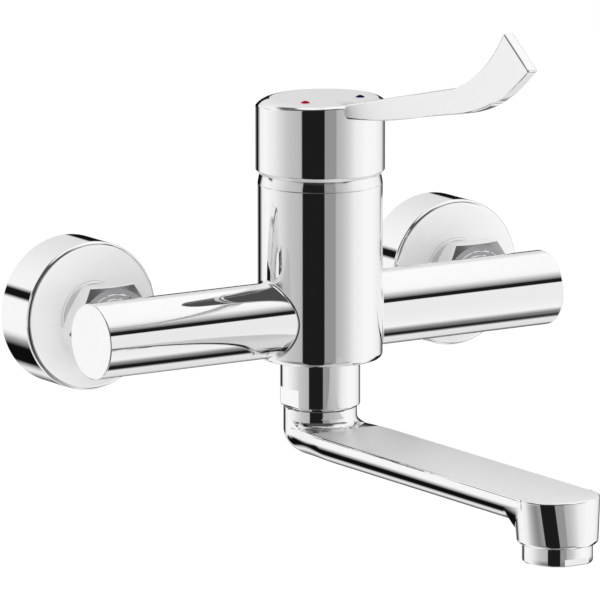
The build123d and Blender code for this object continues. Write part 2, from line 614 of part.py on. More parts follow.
def arm_section(half_width, y):
    """Flat-topped arm section at y: short upright sides over a half ellipse."""
    side = -SPOUT_TOP - ARM_SIDE
    under = EllipticalCenterArc((0, side), half_width, ARM_DEPTH - ARM_SIDE, start_angle=180, arc_size=180)
    corners = ((-half_width, side), (-half_width, -SPOUT_TOP), (half_width, -SPOUT_TOP), (half_width, side))
    return Pos(0, y, 0) * (Plane.XZ * make_face([under, Polyline(*corners)]))


def head_outline(half, corner, front_r, lean, height):
    """Head in plan: half circle behind, corner arcs at the sides and a flatter arc in front."""
    centre = half - corner
    join = (centre + corner * sin(lean), -corner * cos(lean))
    middle = (pi / 2 + lean) / 2
    bend = (centre + corner * sin(middle), -corner * cos(middle))
    nose = (front_r - corner) * cos(lean) - front_r
    back_arc = ThreePointArc((-half, 0), (0, half), (half, 0))
    right_arc = ThreePointArc((half, 0), bend, join)
    front_arc = ThreePointArc(join, (0, nose), (-join[0], join[1]))
    left_arc = ThreePointArc((-join[0], join[1]), (-bend[0], bend[1]), (-half, 0))
    return Pos(0, -SPOUT_REACH, height) * make_face([back_arc, right_arc, front_arc, left_arc])


def make_spout_head():
    """Outlet head: lofted from the arm's blunt front down to a round end."""
    half = ARM_WIDTH / 2
    front_r = half + HEAD_FRONT_FLAT
    back_by = HEAD_FRONT_FLAT + HEAD_NOSE_BACK
    corner = (front_r ** 2 - half ** 2 - back_by ** 2) / (2 * HEAD_FRONT_FLAT)
    lean = asin((half - corner) / (front_r - corner))
    top = head_outline(half, corner, front_r, lean, -SPOUT_TOP)
    end = head_outline(HEAD_R, HEAD_R, HEAD_R, lean, -HEAD_BOTTOM)
    head = loft([top, end], ruled=True)
    return fillet(head.faces().sort_by(Axis.Z)[0].edges(), HEAD_BOTTOM_ROUND)


def arm_plan():
    """Arm in plan, with its round heel behind the neck."""
    half = ARM_WIDTH / 2
    heel = ThreePointArc((-SPOUT_NECK_R, 0), (0, SPOUT_NECK_R), (SPOUT_NECK_R, 0))
    front = Polyline((SPOUT_NECK_R, 0), (half, -ARM_FLARE), (half, -SPOUT_REACH), (-half, -SPOUT_REACH),
                     (-half, -ARM_FLARE), (-SPOUT_NECK_R, 0))
    return make_face([heel, front])


def make_neck_fillet():
    """Hollow round between the neck and the top of the arm, cut off at the arm's sides."""
    foot = -SPOUT_TOP - ARM_SIDE / 2
    low = -SPOUT_TOP
    wide = SPOUT_NECK_R + NECK_FILLET
    bend = NECK_FILLET * (1 - sin(pi / 4))
    hollow = ThreePointArc((wide, low), (SPOUT_NECK_R + bend, low + bend), (SPOUT_NECK_R, low + NECK_FILLET))
    top = low + NECK_FILLET
    rest = Polyline((SPOUT_NECK_R, top), (0, top), (0, foot), (wide, foot), (wide, low))
    flare = revolve(Plane.XZ * make_face([hollow, rest]), Axis.Z)
    return flare & Pos(0, 0, -HEAD_BOTTOM) * extrude(arm_plan(), HEAD_BOTTOM)


def blend_head(arm):
    """Hollow round under the arm, along the curve where its belly meets the back of the head."""
    curves = arm.edges().filter_by(GeomType.BSPLINE)
    belly = [curve for curve in curves if curve.length > ARM_WIDTH and curve.center().Y > -SPOUT_REACH]
    return fillet(belly, HEAD_UNDER_FILLET)


def make_spout():
    """Spout in one piece: shank with its grooves, neck, flat-topped arm and outlet head."""
    half = ARM_WIDTH / 2
    # the arm flares from the neck to its full width and then runs straight
    arm = loft([arm_section(SPOUT_NECK_R, 0), arm_section(half, -ARM_FLARE)], ruled=True)
    arm += extrude(arm_section(half, -ARM_FLARE), amount=SPOUT_REACH - ARM_FLARE, dir=(0, -1, 0))
    # behind the neck the same section is turned about the swivel axis
    side = -SPOUT_TOP - ARM_SIDE
    bowl = EllipticalCenterArc((0, side), SPOUT_NECK_R, ARM_DEPTH - ARM_SIDE, start_angle=270, arc_size=90)
    corners = ((SPOUT_NECK_R, side), (SPOUT_NECK_R, -SPOUT_TOP), (0, -SPOUT_TOP), (0, -SPOUT_TOP - ARM_DEPTH))
    rest = Polyline(*corners)
    arm = blend_head(arm + make_spout_head())
    arm += revolve(Plane.XZ * make_face([bowl, rest]), Axis.Z)
    arm += make_neck_fillet()
    arm += disc(SPOUT_NECK_R, -SPOUT_TOP - ARM_SIDE, SPOUT_NECK_TOP)
    # shank: collar inside the nut's lip, groove for the retaining ring, two seal grooves
    groove_bottom = RETAINER_BOTTOM - SMALL_GAP
    arm += disc(COLLAR_LIP_R - SMALL_GAP, SPOUT_NECK_TOP - OVERRUN, groove_bottom)
    arm += disc(SHANK_R, SPOUT_NECK_TOP - OVERRUN, -SHANK_TOP)
    arm -= ring(COLLAR_LIP_R, RETAINER_GROOVE_R, groove_bottom, RETAINER_TOP + SMALL_GAP)
    for height in o_ring_heights():
        low = height - O_RING_GROOVE_HEIGHT / 2
        arm -= ring(COLLAR_LIP_R, O_RING_GROOVE_R, low, low + O_RING_GROOVE_HEIGHT)
    # waterway: down the shank, along the arm, into the chamber over the aerator
    channel = -SPOUT_TOP - ARM_DEPTH / 2
    arm -= disc(SHANK_BORE_R, channel, -SHANK_TOP + OVERRUN)
    arm -= Pos(0, 0, channel) * Rot(90, 0, 0) * disc(ARM_BORE_R, 0, SPOUT_REACH)
    seat = AERATOR_TOP + AERATOR_SEAL_THICK
    bore = disc(AERATOR_THREAD_R + THREAD_CLEAR, -HEAD_BOTTOM - OVERRUN, seat)
    bore += disc(HEAD_CHAMBER_R, seat - OVERRUN, seat + HEAD_CHAMBER_HEIGHT)
    return arm - Pos(0, -SPOUT_REACH, 0) * bore


def make_aerator_ring():
    """Aerator housing screwed into the head, with two flats for the spanner."""
    ringed = disc(AERATOR_THREAD_R, -HEAD_BOTTOM - OVERRUN, AERATOR_TOP)
    skirt = disc(AERATOR_R, AERATOR_BOTTOM, -HEAD_BOTTOM)
    skirt = fillet(skirt.edges().sort_by(Axis.Z)[0], AERATOR_EDGE_ROUND)
    across = 2 * (AERATOR_R - AERATOR_FLAT_DEPTH)
    skirt -= flats(across, AERATOR_BOTTOM - OVERRUN, AERATOR_BOTTOM + AERATOR_FLAT_HEIGHT, turn=90)
    ringed += skirt
    ringed -= disc(AERATOR_BORE_R, AERATOR_BOTTOM + AERATOR_LIP, AERATOR_TOP + OVERRUN)
    ringed -= disc(AERATOR_LIP_R, AERATOR_BOTTOM - OVERRUN, 0)
    return Pos(0, -SPOUT_REACH, 0) * ringed


def make_aerator_insert():
    """Jet insert standing on the ring's lip, with three circles of holes."""
    bottom = AERATOR_BOTTOM + AERATOR_LIP
    insert = disc(AERATOR_BORE_R - SEAT_CLEAR, bottom, bottom + INSERT_HEIGHT)
    for count, share in zip(INSERT_HOLE_COUNTS, INSERT_RING_SHARES):
        for step in range(count):
            angle = step * 360 / count
            hole = disc(INSERT_HOLE_R, bottom - OVERRUN, bottom + INSERT_HEIGHT + OVERRUN)
            insert -= Rot(0, 0, angle) * Pos(share * AERATOR_BORE_R, 0, 0) * hole
    return Pos(0, -SPOUT_REACH, 0) * insert


def make_aerator_seal():
    """Flat seal above the aerator ring."""
    seal = ring(AERATOR_THREAD_R, AERATOR_SEAL_BORE_R, AERATOR_TOP, AERATOR_TOP + AERATOR_SEAL_THICK)
    return Pos(0, -SPOUT_REACH, 0) * seal


os.makedirs("parts", exist_ok=True)
save("mixer_body", make_mixer_body())
save("dome_cover", make_dome_cover())
save("cartridge_nut", make_cartridge_nut())
save("cartridge_housing", make_cartridge_housing())
save("cartridge_base", make_cartridge_base())
save("floor_seals", *seal_rings(FLOOR_HEIGHT))
save("disc_seals", *seal_rings(BASE_TOP - SEAL_HEIGHT))
save("fixed_disc", make_fixed_disc())
save("moving_disc", make_moving_disc())
save("disc_carrier", make_disc_carrier())
save("stem_guide", make_stem_guide())
save("stem_pin", cross_pin(STEM_PIN_R, STEM_PIN_LENGTH))
save("stem", make_stem())
save("limit_ring", make_limit_ring())
save("lever_handle", make_lever_handle())
save("grub_screw", make_grub_screw())
save("hot_indicator", make_dot(-1))
save("cold_indicator", make_dot(1))
for name, side in SIDES:
    x = side * INLET_CENTRES / 2
    save(f"{name}_inlet_nipple", toward_wall(x, 0, make_inlet_nipple()))
    save(f"{name}_union_nut", toward_wall(x, 0, make_union_nut()))
    save(f"{name}_filter_washer", toward_wall(x, 0, make_filter_washer()))
    save(f"{name}_offset_union", toward_wall(x, 0, make_offset_union()))
    save(f"{name}_escutcheon", toward_wall(x, 0, make_escutcheon()))
save("spout_nut", make_spout_nut())
save("spout_retaining_ring", make_spout_retaining_ring())
save("spout_o_rings", *(make_spout_o_ring(height) for height in o_ring_heights()))
save("spout", make_spout())
save("aerator_ring", make_aerator_ring())
save("aerator_insert", make_aerator_insert())
save("aerator_seal", make_aerator_seal())
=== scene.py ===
from math import acos, asin, atan2, cos, pi, radians, sin, sqrt, tan

import bmesh
import bpy
import numpy as np
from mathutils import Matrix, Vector


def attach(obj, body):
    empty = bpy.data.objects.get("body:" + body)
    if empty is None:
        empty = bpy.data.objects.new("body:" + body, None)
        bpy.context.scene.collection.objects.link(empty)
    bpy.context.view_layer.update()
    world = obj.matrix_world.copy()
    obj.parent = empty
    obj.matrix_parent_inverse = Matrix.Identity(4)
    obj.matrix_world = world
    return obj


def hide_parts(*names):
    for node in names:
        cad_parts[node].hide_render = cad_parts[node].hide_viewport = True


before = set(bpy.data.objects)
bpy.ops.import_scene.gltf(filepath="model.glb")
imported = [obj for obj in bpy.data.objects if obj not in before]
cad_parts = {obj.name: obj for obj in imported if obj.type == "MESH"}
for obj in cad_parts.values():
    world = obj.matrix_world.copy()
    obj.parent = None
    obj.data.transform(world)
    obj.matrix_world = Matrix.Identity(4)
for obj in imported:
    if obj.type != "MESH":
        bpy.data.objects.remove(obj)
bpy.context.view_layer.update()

# Sizes in millimetres about the crossing of barrel and cross tube: X to the right, Y to the wall, Z up.
# Names in _R are radii. Sizes of unions and roses run back from the tube's axis to the wall.

# inlets
INLET_X = 75.0
CRANK = 2.5
WALL = 46.0

# body casting
BARREL_R = 21.6
BARREL_TOP = 46.4
BARREL_TOP_ROUND = 0.45
BARREL_BOTTOM = -15.0
BARREL_BOTTOM_ROUND = 2.0
TUBE_R = 13.05
TUBE_START = 14.0
TUBE_HALF = 93.0
TUBE_END_ROUND = 0.45
JUNCTION_BLEND = 1.0
JUNCTION_DEPTH = 0.5
CARTRIDGE_BORE_R = 17.55
CARTRIDGE_FLOOR = 16.4
CLAMP_NUT_BORE_R = 19.3
CLAMP_NUT_FLOOR = 38.4
SPIGOT_BORE_R = 20.35
SPIGOT_FLOOR = 44.5
OUTLET_R = 11.0
OUTLET_ROOT = -15.5
OUTLET_BOTTOM = -25.0
SHANK_SOCKET_R = 8.12
SHANK_SOCKET_TOP = -11.9

# dome under the cap, about the lifting axis at PIVOT
PIVOT = 43.5
DOME_R = 21.8
DOME_HEIGHT = 12.4
DOME_WALL = 1.0
DOME_SEAT = 0.02
DOME_INSIDE_ANGLE = 0.06
SPIGOT_R = 20.3
SPIGOT_INNER_R = 19.4
SPIGOT_BOTTOM = 44.6

# cap
CAP_R = 22.35
CAP_TOP = 76.2
CAP_EDGE = 74.25
CAP_EDGE_RISE = 1.38
CAP_EDGE_ROUND = 0.8
CAP_EDGE_HOLD = 0.08
BAND_START = radians(40)
CAP_SIDE_MIDDLE = 60.0
CAP_SKIRT = 51.2
CAP_SKIRT_ROUND = 0.4
CAP_RIM = 49.9
CAP_CHAMFER = 1.4
CAP_CHAMFER_HEIGHT = 1.7
CAP_HOLLOW_R = 22.05
BOSS_R = 6.6
BOSS_BOTTOM = 54.0
STEM_SOCKET_R = 5.1
STEM_SOCKET_TOP = 70.5
SCREW_HOLE_R = 2.52
SCREW_HOLE_START = 8.0
SCREW_HOLE_END = 24.0
SCREW_HEIGHT = 68.2

# enamel dots in the cap's top
DOT_R = 1.6
DOT_DOME = 0.7
DOT_SIDE_TOP = 76.1
DOT_BOTTOM = 75.0
DOT_SPREAD = 11.2
DOT_FRONT = 8.0
POCKET_R = 1.62
POCKET_TOP = 78.0

# where the cap is left linished: its lower chamfer, known by its lean and place, and the blade's sides
CHAMFER_LEAN = -0.64
CHAMFER_LEAN_SLACK = 0.1
CHAMFER_INNER_R = 21.0
CHAMFER_HIGHEST = 51.5
BLADE_SIDES_START = 19.5

# elbow lever: its top and under lines are shares of its reach and of its rise
LEVER_START = 18.5
LEVER_REACH = 130.9
LEVER_RISE = 38.2
LEVER_ROOT_HALF = 3.55
LEVER_TIP_HALF = 1.95
LEVER_WIDEST_SHARE = -0.05
LEVER_EDGE = 0.75
TOP_SHARES = ((0.0, 0.0), (0.618, 0.411), (0.757, 0.642), (0.866, 1.0))
UNDER_SHARES = ((0.0, -0.126), (0.233, -0.045), (0.534, 0.128), (0.717, 0.241), (0.867, 0.432), (1.0, 0.715))
# it starts inside the cap: distance in front, and how much lower its top and under lines lie there
LEVER_LEAD = ((12.0, 1.2, 0.3), (18.2, 0.25, 0.0))

# union nuts
NUT_FLATS = 30.0
NUT_FRONT = 13.6
NUT_BACK = 22.0
NUT_CHAMFER_R = 14.5
NUT_CHAMFER_SLOPE = tan(radians(30))
NUT_EDGE = 0.12
NUT_BORE_R = 9.35
NUT_MOUTH_R = 9.5
NUT_MOUTH_DEPTH = 0.2
NUT_FLOOR = 16.0
NUT_THREAD_R = 13.25
# lean of the nut front faces that get the grey painted shade
NUT_SHADED_FRONT_LEAN = -0.8
GROOVES_R = (10.8, 12.4)
GROOVE_HALF = 0.2
GROOVE_DEPTH = 0.25

# offset unions
OFFSET_BORE_R = 6.5
OFFSET_FRONT = 20.0
OFFSET_FACE_R = 12.4
THREAD_PITCH = 1.814
UNION_THREAD_R = 13.2
UNION_THREAD_START = 20.2
UNION_THREAD_END = 24.0
UNION_THREAD_DEPTH = 0.9
OFFSET_NECK_R = 11.2
OFFSET_NECK_START = 24.3
OFFSET_NECK_END = 27.5
OFFSET_NECK_HOLD = 0.3
COUPLING_R = 12.4
COUPLING_FRONT = 26.5
COUPLING_BACK = 36.0
COUPLING_CHAMFER = 0.4
COUPLING_BACK_CHAMFER = 0.5
WALL_RELIEF_R = 9.3
WALL_THREAD_R = 10.4775
WALL_THREAD_START = 46.2
WALL_THREAD_END = 59.4
WALL_THREAD_DEPTH = 1.1
WALL_END = 60.0

# wall roses
ROSE_R = 25.9
ROSE_FRONT = 28.2
ROSE_WALL = 1.2
ROSE_EDGE_ROUND = 1.4
ROSE_BACK_ROUND = 0.2
ROSE_SLEEVE_R = 12.45
ROSE_SLEEVE_END = 34.2

# collar nut of the spout
COLLAR_R = 13.85
COLLAR_TOP = -15.1
COLLAR_STEP = -24.8
COLLAR_BOTTOM = -31.4
COLLAR_FLATS = 25.2
COLLAR_THREAD_R = 11.05
COLLAR_THREAD_END = -25.2
COLLAR_LIP_R = 10.2
COLLAR_LIP_TOP = -29.6
# turned edges, as (in from the radius, along from the face) from the face outwards
COLLAR_TOP_EDGE = ((0.35, 0.0), (0.1, 0.1), (0.0, 0.35), (0.0, 0.5))
COLLAR_BOTTOM_EDGE = ((0.0, 0.4), (0.12, 0.1), (0.4, 0.0))

# spout: shank, neck and arm
SPOUT_TOP = -38.2
SPOUT_REACH = 146.5
SHANK_R = 8.1
SHANK_INNER_R = 4.6
SHANK_INNER_BOTTOM = -38.0
SHANK_TOP = -12.0
SHANK_CHAMFER = 0.2
SHANK_SHOULDER = -14.0
RING_HEIGHTS = (-15.6, -20.2)
RING_GROOVE_R = 6.46
RING_GROOVE_HALF = 0.95
RETAINER_TOP = -26.2
RETAINER_BOTTOM = -29.6
RETAINER_GROOVE_R = 7.0
SHANK_FLANGE_R = 10.1
NECK_R = 12.75
NECK_TOP = -32.0
NECK_TOP_EDGE = ((0.35, 0.0), (0.1, 0.1), (0.0, 0.35), (0.0, 0.45))
NECK_FILLET = 3.2
NECK_FOOT_SINK = 0.2
NECK_FOOT_DEPTH = 0.5
ARM_HALF = 14.9
ARM_DEPTH = 11.4
ARM_SIDE = 1.6
ARM_EDGE = 0.7
ARM_CROWN = 0.3
ARM_FLARE = 22.0
ARM_LINISH_START = 16.0

# spout head, and the blend between it and the arm's underside
HEAD_R = 13.65
HEAD_BOTTOM = -54.2
HEAD_BOTTOM_ROUND = 1.5
HEAD_FRONT_R = 17.0
HEAD_NOSE = 12.6
HEAD_EDGE = 0.7
HEAD_SINK = 0.01
HEAD_FACE_R = 11.6
HEAD_THREAD_R = 11.45
HEAD_THREAD_CHAMFER = 0.15
HEAD_THREAD_TOP = -47.2
HEAD_CHAMBER_R = 8.0
HEAD_CHAMBER_TOP = -45.0
UNDER_ANGLE = 0.985 * pi / 2
UNDER_REACH = 6.5
UNDER_REACH_POWER = 0.8
UNDER_DROP = 3.6
UNDER_DROP_POWER = 0.5
UNDER_LEAST = 0.02
UNDER_SIDE_SHARE = 0.9
UNDER_SLOPE_STEP = 0.05
UNDER_HIDDEN = 2.5

# aerator ring
AERATOR_R = 11.9
AERATOR_TOP = -48.8
AERATOR_THREAD_R = 11.4
AERATOR_THREAD_CHAMFER = 0.4
AERATOR_TOP_EDGE = ((0.3, 0.02), (0.05, 0.1), (0.0, 0.3), (0.0, 0.4))
AERATOR_FLATS = 22.1
AERATOR_STEP = -57.7
AERATOR_BOTTOM = -60.3
AERATOR_BOTTOM_ROUND = 0.7
AERATOR_BORE_R = 10.2
AERATOR_LIP_R = 9.3
AERATOR_LIP_TOP = -59.1
AERATOR_LIP_CHAMFER = 0.2

# the frame's origin lies on the wall, between the inlets
PLACE = np.array((0.0, -WALL, -CRANK))
MM = 0.001

# how finely the surfaces are cut: steps in a full turn
TURN_STEPS = 224
FINE_STEPS = 2 * TURN_STEPS
JUNCTION_STEPS = 144
THREAD_STEPS = 144
HEXAGON_STEPS = 240
SMALL_STEPS = 64
SCREW_STEPS = 48
# steps in an arc, and in a quarter turn of an edge
ARC_STEPS = 10
EDGE_STEPS = 6
HEAD_EDGE_STEPS = 8
HEAD_FOOT_STEPS = 12
AERATOR_EDGE_STEPS = 7
UNDER_STEPS = 48
# rows along a surface, and points along a line
SPHERE_ROWS = 60
INNER_SPHERE_ROWS = 40
BAND_ROWS = 14
DOT_ROWS = 12
BLEND_ROWS = 13
THREAD_ROWS_A_PITCH = 12
STRAIGHT_POINTS = 60
BEND_POINTS = 91
FLARE_ROWS = 23
ARM_ROWS = 32
ARM_ROWS_START = 26.0
NECK_FILLET_ROWS = 25
FLARE_TRIALS = 400
UNDER_COLUMNS = 121
UNDER_POINTS = 25
UNDER_ROUNDS = 30
# shares of a flat's breadth at which it has points
BLADE_FLAT_SHARES = (0.35, 0.65)
BLADE_TIP_SHARE = 0.9
CAP_TOP_SHARE = 0.5
ARM_TOP_SHARES = np.linspace(0, 0.9, 10)
HEAD_TOP_SHARES = np.array((0, 0.2, 0.4, 0.6, 0.8, 0.9, 0.97, 0.995))
HEAD_WALL_SHARES = np.linspace(0.1, 0.9, 9)
# points this close to an edge keep smooth shading flat beside it, on legs longer than LONG_LEG
EDGE_HOLD = 0.06
STEP_HOLD = 0.1
STEP_GAP = 0.001
LONG_LEG = 0.8
MERGE = 1e-6
TINY = 1e-6
CREASE = radians(14)
# a normal's share along an axis from which a face counts as square to it
SQUARE = 0.99


# grids of points


def turn(steps):
    """Angles of a full turn in equal steps, with both ends."""
    return np.linspace(0, 2 * pi, steps + 1)


def quarter(steps):
    """Angles of a quarter turn in equal steps, with both ends."""
    return np.linspace(0, pi / 2, steps + 1)


FULL_TURN = turn(TURN_STEPS)


def corner_arc(before, corner, after, radius):
    """Arc of that radius tangent to the legs from corner to before and to after.

    Its centre lies on the bisector, radius over the sine of the half angle away from the corner.
    """
    back = (before - corner) / np.linalg.norm(before - corner)
    ahead = (after - corner) / np.linalg.norm(after - corner)
    half = acos(back @ ahead) / 2
    centre = corner + (back + ahead) / np.linalg.norm(back + ahead) * radius / sin(half)
    start = corner + back * radius / tan(half) - centre
    stop = corner + ahead * radius / tan(half) - centre
    square = np.array((-start[1], start[0])) * np.sign(start[0] * stop[1] - start[1] * stop[0])
    angles = np.linspace(0, pi - 2 * half, ARC_STEPS + 1)
    return centre + np.outer(np.cos(angles), start) + np.outer(np.sin(angles), square)


def path(corners, rounds):
    """Line through (a, b) corners; rounds maps a corner's index to the radius of its arc.

    A long leg gets a point close to each end, so that smooth shading stays flat along it.
    """
    corners = np.array(corners, float)
    points = corners[:1]
    for i, corner in enumerate(corners[1:], 1):
        if i in rounds:
            group = corner_arc(corners[i - 1], corner, corners[i + 1], rounds[i])
        else:
            group = corner[None]
        leg = group[0] - points[-1]
        length = np.linalg.norm(leg)
        if length > LONG_LEG:
            hold = leg * EDGE_HOLD / length
            points = np.concatenate((points, (points[-1] + hold, group[0] - hold)))
        points = np.concatenate((points, group))
    return points


def turned(rows, angles=FULL_TURN):
    """Grid of rows (radius, height) turned about the Z axis: x = r cos a, y = r sin a.

    The radius and height of a row are numbers, or arrays over the angles.
    """
    radius = np.array([np.broadcast_to(r, angles.shape) for r, z in rows])
    height = np.array([np.broadcast_to(z, angles.shape) for r, z in rows])
    return np.stack((radius * np.cos(angles), radius * np.sin(angles), height), -1)


def cylinder(radius, start, end, angles=FULL_TURN, end_round=None):
    """Closed cylinder about the Z axis, its far edge round where a radius is given."""
    corners = [(0, start), (radius, start), (radius, end), (0, end)]
    return turned(path(corners, {2: end_round} if end_round else {}), angles)


def sphere_rows(radius, start, stop, count):
    """Rows (radius, height) on a sphere about the lifting axis, between two elevations in radians."""
    a = np.linspace(start, stop, count)
    return list(zip(radius * np.cos(a), PIVOT + radius * np.sin(a)))


def edge_rows(radius, height, edge, way):
    """Rows round a turned edge: in from the radius, and up or down (way) from the height."""
    return [(radius - inwards, height + way * along) for inwards, along in edge]


def step_rows(radius, cut, height):
    """Rows down a cylinder and into its flats, which start at that height."""
    return [(radius, height + STEP_HOLD), (radius, height + STEP_GAP), (cut, height),
            (cut, height - EDGE_HOLD)]


def closing(loop, middle):
    """Two rows that close a loop with a fan to its middle."""
    return np.stack((np.broadcast_to(middle, loop.shape), loop))


def lay_back(grid, x, z):
    """Turns an upright grid so that its height runs back to the wall (+Y), through (x, z)."""
    return np.stack((grid[..., 0] + x, grid[..., 2], z - grid[..., 1]), -1)


def moved(grid, x, y):
    """Grid moved sideways by (x, y)."""
    return grid + np.array((x, y, 0.0))


# meshes and objects


def mesh_of(grids):
    """One bmesh of several grids (rows x columns x 3), in metres in the frame on the wall.

    Quads join neighbouring points; equal points are merged, which closes seams and poles, and the
    faces of every closed shell are turned outwards.
    """
    bm = bmesh.new()
    for grid in grids:
        rows, columns = grid.shape[:2]
        points = (grid.reshape(-1, 3) + PLACE) * MM
        index = np.arange(rows * columns).reshape(rows, columns)
        quads = np.stack((index[:-1, :-1], index[:-1, 1:], index[1:, 1:], index[1:, :-1]), -1)
        mesh = bpy.data.meshes.new("grid")
        mesh.from_pydata(points.tolist(), [], quads.reshape(-1, 4).tolist())
        bm.from_mesh(mesh)
        bpy.data.meshes.remove(mesh)
    bmesh.ops.remove_doubles(bm, verts=bm.verts, dist=MERGE)
    bmesh.ops.dissolve_degenerate(bm, edges=bm.edges, dist=MERGE / 10)
    bmesh.ops.recalc_face_normals(bm, faces=bm.faces)
    return bm


def new_object(name, grids):
    """Object of the grids at the origin, smooth apart from edges sharper than CREASE."""
    bm = mesh_of(grids)
    mesh = bpy.data.meshes.new(name)
    bm.to_mesh(mesh)
    bm.free()
    obj = bpy.data.objects.new(name, mesh)
    bpy.context.scene.collection.objects.link(obj)
    shade(obj)
    return obj


def shade(obj):
    """Smooth shading with the sharp edges kept."""
    obj.data.shade_smooth()
    obj.data.set_sharp_from_angle(angle=CREASE)


def combine(obj, tool, operation):
    """Boolean of obj with the object tool, which is then removed."""
    modifier = obj.modifiers.new("cut", "BOOLEAN")
    modifier.operation = operation
    modifier.solver = "EXACT"
    modifier.object = tool
    bpy.context.view_layer.update()
    evaluated = obj.evaluated_get(bpy.context.evaluated_depsgraph_get())
    mesh = bpy.data.meshes.new_from_object(evaluated)
    obj.modifiers.clear()
    old = obj.data
    obj.data = mesh
    mesh.name = obj.name
    bpy.data.meshes.remove(old)
    bpy.data.objects.remove(tool)
    shade(obj)


def face_material(obj, material, wanted):
    """Gives another material to the faces that wanted picks from their normals and centres (mm); it lays
    other finishes, and also painted shade and painted reflection.
    """
    count = len(obj.data.polygons)
    normals = np.empty(count * 3)
    centres = np.empty(count * 3)
    index = np.empty(count, np.int32)
    obj.data.polygons.foreach_get("normal", normals)
    obj.data.polygons.foreach_get("center", centres)
    obj.data.polygons.foreach_get("material_index", index)
    chosen = wanted(normals.reshape(-1, 3), centres.reshape(-1, 3) / MM - PLACE)
    index[chosen] = len(obj.data.materials)
    obj.data.materials.append(material)
    obj.data.polygons.foreach_set("material_index", index)


def piece(obj, body, slot, material, *nodes):
    """Gives a piece its material, its body and the CAD nodes that it stands for. The slot is not used."""
    obj.data.materials.clear()
    obj.data.materials.append(material)
    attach(obj, body)
    if nodes:
        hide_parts(*nodes)


# materials


def linear(hex_colour):
    """sRGB hex to linear RGBA, by the sRGB curve."""
    values = [int(hex_colour[i:i + 2], 16) / 255 for i in (1, 3, 5)]
    return tuple(v / 12.92 if v <= 0.04045 else ((v + 0.055) / 1.055) ** 2.4 for v in values) + (1.0,)


def node(tree, kind, settings=None, **links):
    """Adds a node with its settings and links.

    A link gives an input a socket or a value. It names the input, with _ for a space, or gives its
    number after an i.
    """
    new = tree.nodes.new(kind)
    for key, value in (settings or {}).items():
        setattr(new, key, value)
    for key, value in links.items():
        numbered = key[0] == "i" and key[1:].isdigit()
        socket = new.inputs[int(key[1:]) if numbered else key.replace("_", " ")]
        if isinstance(value, bpy.types.NodeSocket):
            tree.links.new(value, socket)
        else:
            socket.default_value = value
    return new


def finish(name, colour, metallic, roughness, grain_mm=0.0, bump=0.0, spread=0.0, **settings):
    """Principled material with the unevenness that its making leaves.

    grain_mm is the size of the unevenness, bump its height in mm and spread how far it takes the
    roughness up and down.
    """
    material = bpy.data.materials.new(name)
    material.use_nodes = True
    tree = material.node_tree
    shader = tree.nodes["Principled BSDF"]
    shader.inputs["Base Color"].default_value = linear(colour)
    shader.inputs["Metallic"].default_value = metallic
    shader.inputs["Roughness"].default_value = roughness
    for key, value in settings.items():
        shader.inputs[key.replace("_", " ")].default_value = value
    if grain_mm:
        place = node(tree, "ShaderNodeTexCoord")
        grain = node(tree, "ShaderNodeTexNoise", Vector=place.outputs["Object"], Scale=1 / (grain_mm * MM),
                     Detail=3.0)
        if spread:
            ramp = node(tree, "ShaderNodeMapRange", Value=grain.outputs["Fac"], To_Min=roughness - spread,
                        To_Max=roughness + spread)
            tree.links.new(ramp.outputs["Result"], shader.inputs["Roughness"])
        if bump:
            height = node(tree, "ShaderNodeBump", Height=grain.outputs["Fac"], Distance=bump * MM,
                          Strength=1.0)
            tree.links.new(height.outputs["Normal"], shader.inputs["Normal"])
    return material


# The marks of polishing, turning and moulding are finer than a render shows, so each grain is drawn
# coarser, and shows as a faint unevenness of the gloss.
# bright chrome plate on brass, mirror smooth: neutral white metal, only a trace of blur
CHROME = finish("chrome_plate", "#f3f3f3", 1.0, 0.035, grain_mm=14.0, bump=0.006, spread=0.006)
# the same plate over a face that was only linished before plating: reflections melt into a sheen
SOFT_CHROME = finish("linished_chrome_plate", "#f1f1f1", 0.5, 0.36, grain_mm=1.2, bump=0.002, spread=0.02)
# the roses' flat fronts: satin chrome whose near-white diffuse colour is a painted reflection, standing in
# for the bright studio mirrored there
ROSE_FRONT_PAINTED_REFLECTION = finish("satin_chrome_painted_reflection", "#ffffff", 0.1, 0.42, grain_mm=1.2, bump=0.002, spread=0.02)
# nut fronts, just behind the tube: chrome darkened to grey, a painted shade that stands in for the dim
# reflections there
NUT_FRONT_PAINTED_SHADE = finish("chrome_plate_painted_shade", "#a6a7a9", 0.85, 0.24, grain_mm=0.5, bump=0.004, spread=0.04)
# turned brass without plating: warm yellow, soft machining sheen
BRASS = finish("turned_brass", "#d8b56a", 1.0, 0.24, grain_mm=0.8, bump=0.01, spread=0.05)
# turned stainless steel: grey, satin
STEEL = finish("turned_stainless_steel", "#c6c7c8", 1.0, 0.22, grain_mm=0.6, bump=0.005, spread=0.04)
# lapped alumina: dense white ceramic, semi-gloss
CERAMIC = finish("lapped_alumina", "#efeee8", 0.0, 0.18, grain_mm=0.3, spread=0.03)
# moulded acetal of the cartridge: off-white, with the dull skin of its mould
ACETAL = finish("moulded_acetal", "#e4e4e0", 0.0, 0.42, grain_mm=0.5, bump=0.01, spread=0.05)
# moulded glass-filled nylon of guide, carrier and rings: grey and matt
NYLON = finish("moulded_nylon", "#c9cac8", 0.0, 0.5, grain_mm=0.4, bump=0.015, spread=0.06)
# moulded red acetal of the temperature stop: dull red
RED_ACETAL = finish("red_acetal", "#b0231c", 0.0, 0.4, grain_mm=0.5, bump=0.01, spread=0.05)
# moulded black nitrile rubber of the seals: matt black
NITRILE = finish("nitrile_rubber", "#1a1a1b", 0.0, 0.62, grain_mm=0.4, bump=0.02, spread=0.06)
# enamel inlays: stoved matt, so that the colour stays deep from a low angle
RED_ENAMEL = finish("red_enamel", "#a30d28", 0.0, 0.6, grain_mm=1.1, bump=0.004, Specular_IOR_Level=0.0)
BLUE_ENAMEL = finish("blue_enamel", "#0d1446", 0.0, 0.6, grain_mm=1.1, bump=0.004, Specular_IOR_Level=0.0)


# barrel and cross tube


